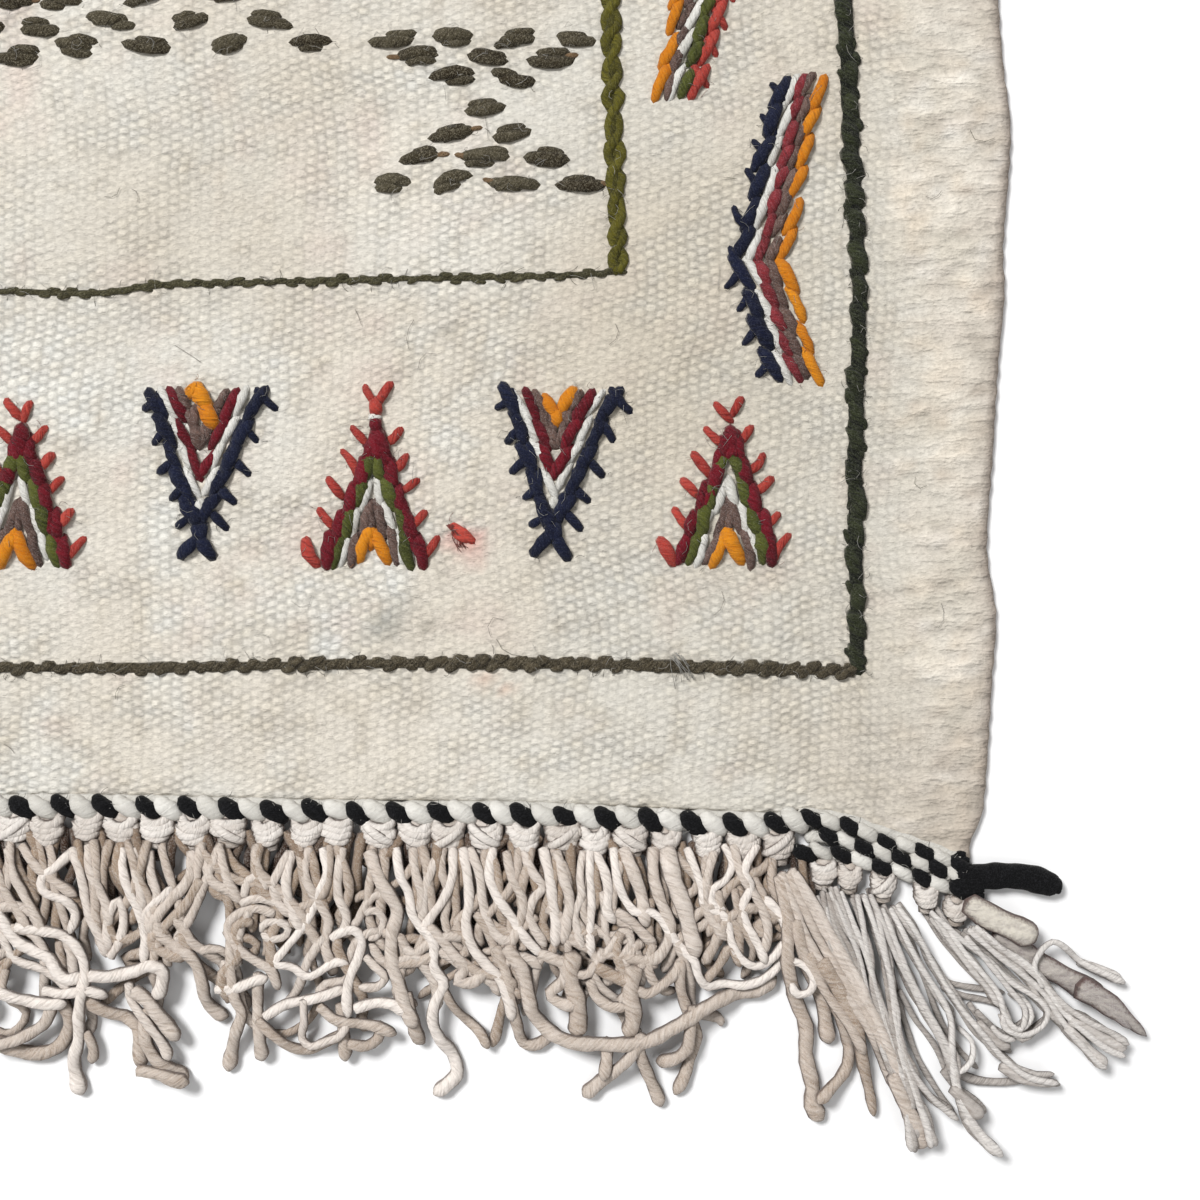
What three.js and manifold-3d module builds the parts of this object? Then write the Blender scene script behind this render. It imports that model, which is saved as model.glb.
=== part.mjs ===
// Small flat-woven wool rug with a two-colour twined edge and a knotted fringe at both ends, lying flat.
// Millimetres. X runs along the fringed ends, Y along the sides and Z up. The floor is Z = 0 and the
// origin is the middle of the underside. The far end is the near end turned half round, so one corner
// of each end is pulled out, and carries three twined rows and the black tail of the twining yarn.
import * as THREE from "three";
import { mergeVertices } from "three/addons/utils/BufferGeometryUtils.js";
import Module from "manifold-3d";

// Driving dimensions
const HALF_WIDTH = 294;
const HALF_LENGTH = 341.4;
const CLOTH_THICKNESS = 4;
const EDGE_ROUNDING = 1.2;
const PIECE_GAP = 0.3;
const END_STEP = 9;
const SIDE_STEP = 20;
const SIDE_CROWDING = 1.4;

// The flat top of a row or knot, against its base.
const CROWN = 0.6;

// Twined edge: one broad row along the whole end, three narrow ones at the pulled-out corner.
const ROW_WIDTH = 6.8;
const ROW_HEIGHT = 5.4;
const NARROW_ROW_WIDTH = 5;
const NARROW_FROM = 230;
const NARROW_BY = 238;
const ROW_PITCH = 4.8;
const ROW_PITCH_AT_CORNER = 3.9;
const EXTRA_ROWS_START = 236;
const EXTRA_ROWS = 2;
const ROWS_END = 283.5;
const STITCH = 6.15;
const STITCH_RIDGE = 0.45;
const STITCH_SLANT = 1.5;
const ROW_END_TAPER = 0.7;

// Knots of the fringe, and the neck of yarn that joins them into one strip.
const KNOT_PITCH = 10.9;
const KNOT = { along: 4.4, across: 3.8, height: 6.6 };
const CORNER_KNOT = { along: 3.7, across: 3.2, height: 6 };
const KNOT_FLAT = 0.55;
const NECK = { across: 1.3, height: 3 };
const FIRST_KNOT = -287.2;
const LAST_EVEN_KNOT = 227.3;
const KNOT_WANDER = 1;

// Strands of the fringe, two to a knot, resting on the floor with a flat side down.
const STRAND_WIDTH = 3.2;
const STRAND_HEIGHT = 3;
const STRAND_SPREAD = 2.6;
const STRAND_LENGTH = 63;
const STRAND_LENGTH_VARIES = 14;
const STRAND_STEPS = 4;
const STRAND_SWAY = 2.5;
const SWAY_LENGTH = 52;
const SWAY_DRIFT = 150;
const STRAND_FALL = 0.34;
const CORNER_SWAY = 0.45;
const STRAND_TAPER = 0.6;

// How far the strands of the even knots turn from straight down, in degrees, and where that begins
// and is complete: towards the pulled-out corner, and outwards at the plain one.
const TURN_TO_CORNER = { most: 9, from: 150, to: 228 };
const TURN_TO_PLAIN = { most: 7, from: -250, to: -290 };
const TURN_BETWEEN_STRANDS = 0.5;

const CREAM = 0xe2dccd;
const CREAM_YARN = 0xd9cdba;
const BLACK_YARN = 0x17171a;

// How far the near edge of the cloth lies beyond HALF_LENGTH, from the plain corner to the pulled-out one.
const NEAR_EDGE = [
  { at: -292.5, out: 0 },
  { at: -200, out: 1 },
  { at: -110, out: 1.8 },
  { at: -50, out: 0.6 },
  { at: 24, out: 0 },
  { at: 84, out: 1.4 },
  { at: 144, out: 2.1 },
  { at: 204, out: 4.5 },
  { at: 227, out: 5.4 },
  { at: 237, out: 4.5 },
  { at: 248, out: 6.6 },
  { at: 258, out: 10.2 },
  { at: 270.5, out: 14.1 },
  { at: 286.5, out: 20 },
];

// How far the right side of the cloth lies beyond HALF_WIDTH, from the pulled-out corner to the far end.
const RIGHT_SIDE = [
  { at: -361.4, out: -8.8 },
  { at: -354.6, out: -8.1 },
  { at: -348.6, out: -5.2 },
  { at: -339.6, out: -3.9 },
  { at: -306.6, out: -1.8 },
  { at: -287.1, out: -0.6 },
  { at: -268, out: -3.3 },
  { at: -237.6, out: -1.5 },
  { at: -210, out: 0.2 },
  { at: -190, out: 2 },
  { at: -177.6, out: 1.5 },
  { at: -141.6, out: 3.8 },
  { at: -120.6, out: 1.5 },
  { at: -100, out: 0 },
  { at: -60, out: -0.9 },
  { at: 0, out: 0.6 },
  { at: 60, out: -0.6 },
  { at: 120, out: 0.9 },
  { at: 180, out: -0.3 },
  { at: 240, out: 0.6 },
  { at: 300, out: -0.6 },
  { at: 341.4, out: -1.5 },
];

// The five knots of the pulled-out corner: where they are below the cloth's edge, and for their two
// strands the turn from straight down towards the side, in degrees, the reach and the share of the
// reach in which they fall straight before they turn.
const CORNER_KNOTS = [
  { x: 241, drop: 19.9, turn: [12, 18], reach: [84, 88], fall: 0.34 },
  { x: 249.6, drop: 19.2, turn: [24, 30], reach: [91, 95], fall: 0.32 },
  { x: 259, drop: 18.6, turn: [36, 42], reach: [86, 80], fall: 0.28 },
  { x: 272, drop: 17.8, turn: [47, 52], reach: [74, 74], fall: 0.22 },
  { x: 281.2, drop: 18.2, turn: [57, 65], reach: [70, 63], fall: 0.08 },
];

// The tail of the twining yarn, and the bound ends that it comes out of.
const TAIL_HALF_THICKNESS = 3.6;
const TAIL = [
  { x: 285, y: -367, thick: 1 },
  { x: 294.6, y: -366, thick: 1 },
  { x: 302.7, y: -366.4, thick: 1 },
  { x: 308.6, y: -368.6, thick: 1 },
  { x: 311.4, y: -370.2, thick: 0.8 },
  { x: 312.4, y: -370.9, thick: 0.4 },
];
const BOUND_ENDS = [
  { y: -362.6, x: 283, half: 2, height: 4 },
  { y: -365, x: 283.8, half: 4, height: 6 },
  { y: -368.5, x: 284.8, half: 4.2, height: 6.6 },
  { y: -372.3, x: 286.2, half: 3.2, height: 5.4 },
  { y: -374.6, x: 287.4, half: 1.4, height: 3.4 },
];

const wasm = await Module();
wasm.setup();

// A smooth curve through the rows of a table.
function outAt(rows, at) {
  const last = rows.length - 1;
  let i = 0;
  while (i < last - 1 && at > rows[i + 1].at) i += 1;
  const slope = (a, b) => (rows[b].out - rows[a].out) / (rows[b].at - rows[a].at);
  const width = rows[i + 1].at - rows[i].at;
  const t = THREE.MathUtils.clamp((at - rows[i].at) / width, 0, 1);
  const start = slope(Math.max(i - 1, 0), i + 1) * width;
  const end = slope(i, Math.min(i + 2, last)) * width;
  const rise = rows[i + 1].out - rows[i].out;
  return rows[i].out + start * t + (3 * rise - 2 * start - end) * t ** 2 + (start + end - 2 * rise) * t ** 3;
}

const nearEdgeY = (x) => -HALF_LENGTH - outAt(NEAR_EDGE, x);
const rightSideX = (y) => HALF_WIDTH + outAt(RIGHT_SIDE, y);

// A number from 0 to 1 that looks random but is the same each time.
function scatter(index, salt) {
  const wave = Math.sin(index * 12.9898 + salt * 78.233) * 43758.5453;
  return wave - Math.floor(wave);
}

// A closed body through rings of points, each ring convex and running the same way round.
function loft(rings) {
  const sides = rings[0].length;
  const positions = rings.flat().flatMap((p) => [p.x, p.y, p.z]);
  const faces = [];
  for (let r = 0; r + 1 < rings.length; r += 1) {
    for (let s = 0; s < sides; s += 1) {
      const a = r * sides + s;
      const b = r * sides + ((s + 1) % sides);
      faces.push(a, b, b + sides, a, b + sides, a + sides);
    }
  }
  const end = (rings.length - 1) * sides;
  for (let s = 1; s + 1 < sides; s += 1) {
    faces.push(0, s + 1, s, end, end + s, end + s + 1);
  }
  const geometry = new THREE.BufferGeometry();
  geometry.setAttribute("position", new THREE.Float32BufferAttribute(positions, 3));
  geometry.setIndex(faces);
  return geometry;
}

// A ring across a path that runs along the floor. The shape's points are given as across, to the
// left of the path, and up, and lean is how far the left side is shifted back along the path.
function ringAcross(x, y, heading, shape, lean = 0) {
  const along = new THREE.Vector2(Math.cos(heading), Math.sin(heading));
  return shape.map(([across, up]) => {
    const back = lean * across;
    return new THREE.Vector3(
      x - along.y * across - along.x * back,
      y + along.x * across - along.y * back,
      up,
    );
  });
}

// A section with its broad base on the floor and a narrower flat top.
const crowned = (half, height) => [
  [-half, 0],
  [half, 0],
  [half * CROWN, height],
  [-half * CROWN, height],
];

// The heading of a curve y(x) at x.
const headingOf = (curve, x) => Math.atan2(curve(x + 0.5) - curve(x - 0.5), 1);

// Joins closed geometries into one.
function joined(geometries) {
  const solids = geometries.map((geometry) => {
    const merged = mergeVertices(geometry, 1e-4);
    return new wasm.Manifold(
      new wasm.Mesh({
        numProp: 3,
        vertProperties: merged.attributes.position.array,
        triVerts: new Uint32Array(merged.index.array),
      }),
    );
  });
  const whole = solids.reduce((all, solid) => all.add(solid)).getMesh();
  const geometry = new THREE.BufferGeometry();
  geometry.setAttribute("position", new THREE.Float32BufferAttribute(whole.vertProperties, 3));
  geometry.setIndex(new THREE.Uint32BufferAttribute(whole.triVerts, 1));
  return geometry;
}

// The woven cloth with its selvages: one flat sheet with wandering edges, rounded at its rim. The
// points of its side lie closer towards the pulled-out corner.
function wovenCloth() {
  const half = [];
  const cornerX = rightSideX(-HALF_LENGTH - 20);
  const plainX = -rightSideX(HALF_LENGTH);
  const acrossSteps = Math.round((cornerX - plainX) / END_STEP);
  for (let i = 0; i <= acrossSteps; i += 1) {
    const x = THREE.MathUtils.lerp(plainX, cornerX, i / acrossSteps);
    half.push(new THREE.Vector2(x, nearEdgeY(x)));
  }
  const cornerY = nearEdgeY(cornerX);
  const upSteps = Math.round((HALF_LENGTH - cornerY) / SIDE_STEP);
  for (let i = 1; i < upSteps; i += 1) {
    const y = THREE.MathUtils.lerp(cornerY, HALF_LENGTH, (i / upSteps) ** SIDE_CROWDING);
    half.push(new THREE.Vector2(rightSideX(y), y));
  }
  const otherHalf = half.map((p) => new THREE.Vector2(-p.x, -p.y));
  const geometry = new THREE.ExtrudeGeometry(new THREE.Shape([...half, ...otherHalf]), {
    depth: CLOTH_THICKNESS - 2 * EDGE_ROUNDING,
    bevelSize: EDGE_ROUNDING,
    bevelOffset: -EDGE_ROUNDING,
    bevelThickness: EDGE_ROUNDING,
    bevelSegments: 1,
  });
  geometry.translate(0, 0, EDGE_ROUNDING);
  geometry.deleteAttribute("normal");
  geometry.deleteAttribute("uv");
  return geometry;
}

// Half the width of a twined row at x, without its ridges.
function rowHalf(x) {
  const narrow = THREE.MathUtils.smoothstep(x, NARROW_FROM, NARROW_BY);
  return THREE.MathUtils.lerp(ROW_WIDTH, NARROW_ROW_WIDTH, narrow) / 2;
}

// The middle line of a twined row: row 0 lies against the cloth, rows 1 and 2 below it.
function rowY(row, x) {
  const toCorner = THREE.MathUtils.smoothstep(x, EXTRA_ROWS_START, ROWS_END);
  const pitch = THREE.MathUtils.lerp(ROW_PITCH, ROW_PITCH_AT_CORNER, toCorner);
  return nearEdgeY(x) - PIECE_GAP - rowHalf(x) - row * pitch;
}

// One twined row: two yarns twisted round each other, their stitches raised as slanting ridges.
function twinedRow(row, from, to) {
  const middle = (x) => rowY(row, x);
  const steps = Math.round((to - from) / (STITCH / 2));
  const rings = [];
  for (let i = 0; i <= steps; i += 1) {
    const x = THREE.MathUtils.lerp(from, to, i / steps);
    const atEnd = i === 0 || i === steps;
    const sunk = i % 2 ? 0 : STITCH_RIDGE;
    const taper = atEnd ? ROW_END_TAPER : 1;
    const half = (rowHalf(x) - sunk) * taper;
    const height = (ROW_HEIGHT - 2 * sunk) * taper;
    const lean = atEnd ? 0 : STITCH_SLANT / half;
    rings.push(ringAcross(x, middle(x), headingOf(middle, x), crowned(half, height), lean));
  }
  return loft(rings);
}

// The bound ends of the twining yarns at the corner, a lump lying along Y.
function boundEnds() {
  const rings = BOUND_ENDS.map(({ y, x, half, height }) => [
    new THREE.Vector3(x - half, y, 0),
    new THREE.Vector3(x + half, y, 0),
    new THREE.Vector3(x + half * CROWN, y, height),
    new THREE.Vector3(x - half * CROWN, y, height),
  ]);
  return loft(rings);
}

// The loose tail of the black twining yarn, an eight-sided rope end with one side on the floor.
function yarnTail() {
  const rings = TAIL.map(({ x, y, thick }, i) => {
    const before = TAIL[Math.max(i - 1, 0)];
    const after = TAIL[Math.min(i + 1, TAIL.length - 1)];
    const heading = Math.atan2(after.y - before.y, after.x - before.x);
    const shape = [];
    for (let side = 0; side < 8; side += 1) {
      const turn = ((side + 0.5) * Math.PI) / 4;
      const radius = TAIL_HALF_THICKNESS * thick;
      const level = TAIL_HALF_THICKNESS * thick * Math.cos(Math.PI / 8);
      shape.push([radius * Math.sin(turn), level - radius * Math.cos(turn)]);
    }
    return ringAcross(x, y, heading, shape);
  });
  return loft(rings);
}

function twinedEdge() {
  const start = -rightSideX(HALF_LENGTH) + 1;
  const rows = [twinedRow(0, start, ROWS_END)];
  for (let row = 1; row <= EXTRA_ROWS; row += 1) {
    rows.push(twinedRow(row, EXTRA_ROWS_START - 2 * (row - 1), ROWS_END));
  }
  return joined([...rows, boundEnds(), yarnTail()]);
}

// A value that rises smoothly from nothing to its most between two places.
function easedTo({ most, from, to }, x) {
  const way = Math.sign(to - from);
  return most * THREE.MathUtils.smoothstep(x * way, from * way, to * way);
}

// The knots, from the plain corner to the pulled-out one, each with its size and its two strands.
function knotRow() {
  const knots = [];
  const count = Math.round((LAST_EVEN_KNOT - FIRST_KNOT) / KNOT_PITCH);
  for (let i = 0; i <= count; i += 1) {
    const atEnd = i === 0 || i === count;
    const wander = atEnd ? 0 : KNOT_WANDER * (2 * scatter(i, 1) - 1);
    const x = THREE.MathUtils.lerp(FIRST_KNOT, LAST_EVEN_KNOT, i / count) + wander;
    const drop = 2 * rowHalf(x) + 2 * PIECE_GAP + KNOT.across;
    const turn = easedTo(TURN_TO_CORNER, x) - easedTo(TURN_TO_PLAIN, x);
    const reach = [2, 3].map((salt) => STRAND_LENGTH + STRAND_LENGTH_VARIES * scatter(i, salt));
    knots.push({
      x,
      drop,
      size: KNOT,
      turn: [turn, turn + TURN_BETWEEN_STRANDS],
      reach,
      fall: STRAND_FALL,
      sway: STRAND_SWAY,
    });
  }
  const sway = STRAND_SWAY * CORNER_SWAY;
  CORNER_KNOTS.forEach((knot) => knots.push({ ...knot, size: CORNER_KNOT, sway }));
  return knots.map((knot) => ({ ...knot, y: nearEdgeY(knot.x) - knot.drop }));
}

// The strip of knots: three rings to a knot, two at its shoulders and one at the neck to the next.
function knotStrip(knots) {
  const rings = [];
  knots.forEach((knot, i) => {
    const before = knots[Math.max(i - 1, 0)];
    const after = knots[Math.min(i + 1, knots.length - 1)];
    const heading = Math.atan2(after.y - before.y, after.x - before.x);
    [-1, 1].forEach((end) => {
      const reach = end * knot.size.along * KNOT_FLAT;
      const x = knot.x + reach * Math.cos(heading);
      const y = knot.y + reach * Math.sin(heading);
      rings.push(ringAcross(x, y, heading, crowned(knot.size.across, knot.size.height)));
    });
    if (after !== knot) {
      const slope = Math.atan2(after.y - knot.y, after.x - knot.x);
      const x = (knot.x + after.x) / 2;
      const y = (knot.y + after.y) / 2;
      rings.push(ringAcross(x, y, slope, crowned(NECK.across, NECK.height)));
    }
  });
  return loft(rings);
}

// One strand: it falls straight from its knot, then turns to its own direction, swaying a little.
// Neighbours sway together, so that they stay apart.
function strand(knot, side) {
  const spread = (STRAND_SPREAD * knot.size.along) / KNOT.along;
  const root = new THREE.Vector2(knot.x + (2 * side - 1) * spread, knot.y);
  const turn = THREE.MathUtils.degToRad(knot.turn[side]);
  const reach = knot.reach[side];
  const below = new THREE.Vector2(root.x, root.y - reach * knot.fall);
  const tip = new THREE.Vector2(root.x + reach * Math.sin(turn), root.y - reach * Math.cos(turn));
  const fall = new THREE.QuadraticBezierCurve(root, below, tip);
  const rings = [];
  for (let i = 0; i <= STRAND_STEPS; i += 1) {
    const t = i / STRAND_STEPS;
    const point = fall.getPoint(t);
    const run = fall.getTangent(t);
    const phase = (2 * Math.PI * reach * t) / SWAY_LENGTH + (2 * Math.PI * root.x) / SWAY_DRIFT;
    const sway = knot.sway * Math.min(1, 2 * t) * Math.sin(phase);
    const narrowing = i === STRAND_STEPS ? STRAND_TAPER : 1;
    const half = (STRAND_WIDTH / 2) * narrowing;
    const shape = [
      [-half, 0],
      [half, 0],
      [0, STRAND_HEIGHT * narrowing],
    ];
    const x = point.x - run.y * sway;
    const y = point.y + run.x * sway;
    rings.push(ringAcross(x, y, Math.atan2(run.y, run.x), shape));
  }
  return loft(rings);
}

function knottedFringe() {
  const knots = knotRow();
  const strands = knots.flatMap((knot) => [strand(knot, 0), strand(knot, 1)]);
  return joined([knotStrip(knots), ...strands]);
}

const clothMaterial = new THREE.MeshStandardMaterial({ color: CREAM, roughness: 0.95, metalness: 0 });
const fringeMaterial = new THREE.MeshStandardMaterial({ color: CREAM_YARN, roughness: 0.9, metalness: 0 });
const twiningMaterial = new THREE.MeshStandardMaterial({ color: BLACK_YARN, roughness: 0.9, metalness: 0 });

function mesh(name, geometry, material) {
  const piece = new THREE.Mesh(geometry, material);
  piece.name = name;
  return piece;
}

// One end of the rug, as it lies at the near side.
function rugEnd(which, edgeGeometry, fringeGeometry) {
  const end = new THREE.Group();
  end.add(mesh(`twined_edge_${which}`, edgeGeometry, twiningMaterial));
  end.add(mesh(`knotted_fringe_${which}`, fringeGeometry, fringeMaterial));
  return end;
}

const rug = new THREE.Group();
rug.add(mesh("woven_cloth", wovenCloth(), clothMaterial));
const edge = twinedEdge();
const fringe = knottedFringe();
const nearEnd = rugEnd("near", edge, fringe);
const farEnd = rugEnd("far", edge, fringe);
farEnd.rotation.z = Math.PI;
rug.add(nearEnd, farEnd);

export default rug;
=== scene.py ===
import math

import bpy
import numpy as np
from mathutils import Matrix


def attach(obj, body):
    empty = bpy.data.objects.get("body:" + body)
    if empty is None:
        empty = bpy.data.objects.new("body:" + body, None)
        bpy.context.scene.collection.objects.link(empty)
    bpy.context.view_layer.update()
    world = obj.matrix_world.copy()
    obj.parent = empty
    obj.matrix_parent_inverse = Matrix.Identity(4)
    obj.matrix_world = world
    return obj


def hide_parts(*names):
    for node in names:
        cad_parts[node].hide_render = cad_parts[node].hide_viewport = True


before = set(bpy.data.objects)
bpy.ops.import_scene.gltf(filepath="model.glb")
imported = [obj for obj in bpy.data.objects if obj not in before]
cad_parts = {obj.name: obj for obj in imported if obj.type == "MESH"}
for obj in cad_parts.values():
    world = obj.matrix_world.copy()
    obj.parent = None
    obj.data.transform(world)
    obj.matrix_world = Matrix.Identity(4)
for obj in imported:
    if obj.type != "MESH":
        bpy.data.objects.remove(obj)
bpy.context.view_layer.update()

# Small flat-woven wool rug lying on a pale floor, seen from straight above its near right corner.
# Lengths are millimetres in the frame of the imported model, and become metres where a mesh is made.
# The far end and the left side are the near end and the right side turned half round.
MM = 0.001


# Camera, lights and floor

VIEW_CENTRE = (174, -282.6)
VIEW_HEIGHT = 504
LENS = 50
SENSOR = 36


def camera():
    data = bpy.data.cameras.new("camera")
    data.lens = LENS
    data.sensor_width = SENSOR
    data.clip_start = 0.01
    seen_from = bpy.data.objects.new("camera", data)
    seen_from.location = (VIEW_CENTRE[0] * MM, VIEW_CENTRE[1] * MM, VIEW_HEIGHT * MM)
    bpy.context.collection.objects.link(seen_from)
    bpy.context.scene.camera = seen_from


ROOM_BRIGHTNESS = 0.37
LIT_PLACE = (0.1, -0.2, 0)
FLOOR_REACH = 12


def soft_light(name, place, size, watts):
    """A round lamp turned to the middle of the rug."""
    data = bpy.data.lights.new(name, "AREA")
    data.shape = "DISK"
    data.size = size
    data.energy = watts
    light = bpy.data.objects.new(name, data)
    light.location = place
    way = [aim - p for aim, p in zip(LIT_PLACE, place)]
    flat = math.hypot(way[0], way[1])
    light.rotation_euler = (math.atan2(flat, -way[2]), 0, math.atan2(way[1], way[0]) - math.pi / 2)
    bpy.context.collection.objects.link(light)


def studio():
    world = bpy.data.worlds.new("studio")
    world.use_nodes = True
    background = world.node_tree.nodes["Background"]
    background.inputs["Color"].default_value = (1, 1, 1, 1)
    background.inputs["Strength"].default_value = ROOM_BRIGHTNESS
    bpy.context.scene.world = world
    bpy.context.scene.view_settings.view_transform = "Standard"
    soft_light("window light", place=(-1.2, 1.15, 2.6), size=1.1, watts=122)
    soft_light("room light", place=(1.3, -1.6, 2.2), size=1.6, watts=10)


def floor():
    mesh = bpy.data.meshes.new("floor")
    corners = [(x * FLOOR_REACH, y * FLOOR_REACH, 0) for x, y in ((-1, -1), (1, -1), (1, 1), (-1, 1))]
    mesh.from_pydata(corners, [], [(0, 1, 2, 3)])
    plain = bpy.data.materials.new("pale floor")
    plain.use_nodes = True
    shader = plain.node_tree.nodes["Principled BSDF"]
    shader.inputs["Base Color"].default_value = (0.9, 0.9, 0.9, 1)
    shader.inputs["Roughness"].default_value = 0.9
    shader.inputs["Specular IOR Level"].default_value = 0.1
    mesh.materials.append(plain)
    ground = bpy.data.objects.new("floor", mesh)
    bpy.context.collection.objects.link(ground)


# Driving sizes, the same as those of the solids

HALF_WIDTH = 294
HALF_LENGTH = 341.4
CLOTH_TOP = 4
PIECE_GAP = 0.3
ROW_WIDTH = 6.8
NARROW_ROW_WIDTH = 5
NARROW_FROM = 230
NARROW_BY = 238
ROW_PITCH = 4.8
ROW_PITCH_AT_CORNER = 3.9
EXTRA_ROWS_START = 236
ROWS_END = 283.5
KNOT_PITCH = 10.9
KNOT_ACROSS = 3.8
FIRST_KNOT = -287.2
LAST_EVEN_KNOT = 227.3
KNOT_WANDER = 1

# How far the near edge lies beyond HALF_LENGTH, by x.
NEAR_EDGE = [
    (-292.5, 0), (-200, 1), (-110, 1.8), (-50, 0.6), (24, 0), (84, 1.4), (144, 2.1), (204, 4.5),
    (227, 5.4), (237, 4.5), (248, 6.6), (258, 10.2), (270.5, 14.1), (286.5, 20),
]
# How far the right side lies beyond HALF_WIDTH, by y.
RIGHT_SIDE = [
    (-361.4, -8.8), (-354.6, -8.1), (-348.6, -5.2), (-339.6, -3.9), (-306.6, -1.8), (-287.1, -0.6),
    (-268, -3.3), (-237.6, -1.5), (-210, 0.2), (-190, 2), (-177.6, 1.5), (-141.6, 3.8),
    (-120.6, 1.5), (-100, 0), (-60, -0.9), (0, 0.6), (60, -0.6), (120, 0.9), (180, -0.3),
    (240, 0.6), (300, -0.6), (341.4, -1.5),
]
# The five knots of the pulled-out corner: x, and drop below the cloth's edge.
CORNER_KNOTS = [(241, 19.9), (249.6, 19.2), (259, 18.6), (272, 17.8), (281.2, 18.2)]


def smoothstep(t):
    t = np.clip(t, 0, 1)
    return t * t * (3 - 2 * t)


def between(start, end, t):
    return start + (end - start) * t


def through(rows, at):
    """A smooth curve through rows of (place, value)."""
    place, value = (np.array(column, float) for column in zip(*rows))
    at = np.asarray(at, float)
    i = np.clip(np.searchsorted(place, at, side="left") - 1, 0, len(place) - 2)
    before, after = np.maximum(i - 1, 0), np.minimum(i + 2, len(place) - 1)
    width = place[i + 1] - place[i]
    t = np.clip((at - place[i]) / width, 0, 1)
    start = (value[i + 1] - value[before]) / (place[i + 1] - place[before]) * width
    end = (value[after] - value[i]) / (place[after] - place[i]) * width
    rise = value[i + 1] - value[i]
    return value[i] + start * t + (3 * rise - 2 * start - end) * t**2 + (start + end - 2 * rise) * t**3


def near_edge_y(x):
    return -HALF_LENGTH - through(NEAR_EDGE, x)


def right_side_x(y):
    return HALF_WIDTH + through(RIGHT_SIDE, y)


def row_half(x):
    narrowed = smoothstep((np.asarray(x) - NARROW_FROM) / (NARROW_BY - NARROW_FROM))
    return between(ROW_WIDTH, NARROW_ROW_WIDTH, narrowed) / 2


def row_y(row, x):
    """The middle of a twined row: row 0 lies along the cloth's edge, the others below it."""
    to_corner = smoothstep((x - EXTRA_ROWS_START) / (ROWS_END - EXTRA_ROWS_START))
    pitch = between(ROW_PITCH, ROW_PITCH_AT_CORNER, to_corner)
    return near_edge_y(x) - PIECE_GAP - row_half(x) - row * pitch


def scatter(index, salt):
    """A number from 0 to 1 that looks random, the same as in the solids."""
    wave = math.sin(index * 12.9898 + salt * 78.233) * 43758.5453
    return wave - math.floor(wave)


def even_knots():
    """The middle of each knot of the even part of the near end."""
    count = round((LAST_EVEN_KNOT - FIRST_KNOT) / KNOT_PITCH)
    places = []
    for i in range(count + 1):
        wander = KNOT_WANDER * (2 * scatter(i, 1) - 1) if 0 < i < count else 0
        x = between(FIRST_KNOT, LAST_EVEN_KNOT, i / count) + wander
        drop = 2 * float(row_half(x)) + 2 * PIECE_GAP + KNOT_ACROSS
        places.append((x, float(near_edge_y(x)) - drop))
    return places


def corner_knots():
    return [(x, float(near_edge_y(x)) - drop) for x, drop in CORNER_KNOTS]


# Meshes

# No yarn reaches down into the floor below this level.
LOWEST = 0.05
# How far the middle of a yarn's cut end stands out, as a share of its half thickness.
TIP_BULGE = 0.4


def new_piece(name, verts, polygons, materials, uv=None, slots=None, fields=None, uv_name="yarn"):
    """A smooth-shaded mesh object. polygons is a list of index arrays, one for each face size."""
    mesh = bpy.data.meshes.new(name)
    loops = np.concatenate([p.ravel() for p in polygons])
    totals = np.concatenate([np.full(len(p), p.shape[1]) for p in polygons])
    starts = np.concatenate([[0], np.cumsum(totals)[:-1]])
    mesh.vertices.add(len(verts))
    mesh.vertices.foreach_set("co", (np.asarray(verts) * MM).astype(np.float32).ravel())
    mesh.loops.add(len(loops))
    mesh.loops.foreach_set("vertex_index", loops.astype(np.int32))
    mesh.polygons.add(len(totals))
    mesh.polygons.foreach_set("loop_start", starts.astype(np.int32))
    mesh.polygons.foreach_set("use_smooth", np.ones(len(totals), bool))
    if slots is not None:
        mesh.polygons.foreach_set("material_index", np.asarray(slots, np.int32))
    if uv is not None:
        mesh.uv_layers.new(name=uv_name).data.foreach_set("uv", np.asarray(uv, np.float32).ravel())
    for key, values in (fields or {}).items():
        values = np.asarray(values, np.float32)
        kind, entry = ("FLOAT", "value") if values.ndim == 1 else ("FLOAT_COLOR", "color")
        field = mesh.attributes.new(key, kind, "POINT")
        field.data.foreach_set(entry, values.ravel())
    for material in materials:
        mesh.materials.append(material)
    mesh.update(calc_edges=True)
    mesh.validate()
    piece = bpy.data.objects.new(name, mesh)
    bpy.context.collection.objects.link(piece)
    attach(piece, "root")
    return piece


def unit(vectors):
    return vectors / np.maximum(np.linalg.norm(vectors, axis=-1, keepdims=True), 1e-9)


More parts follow.
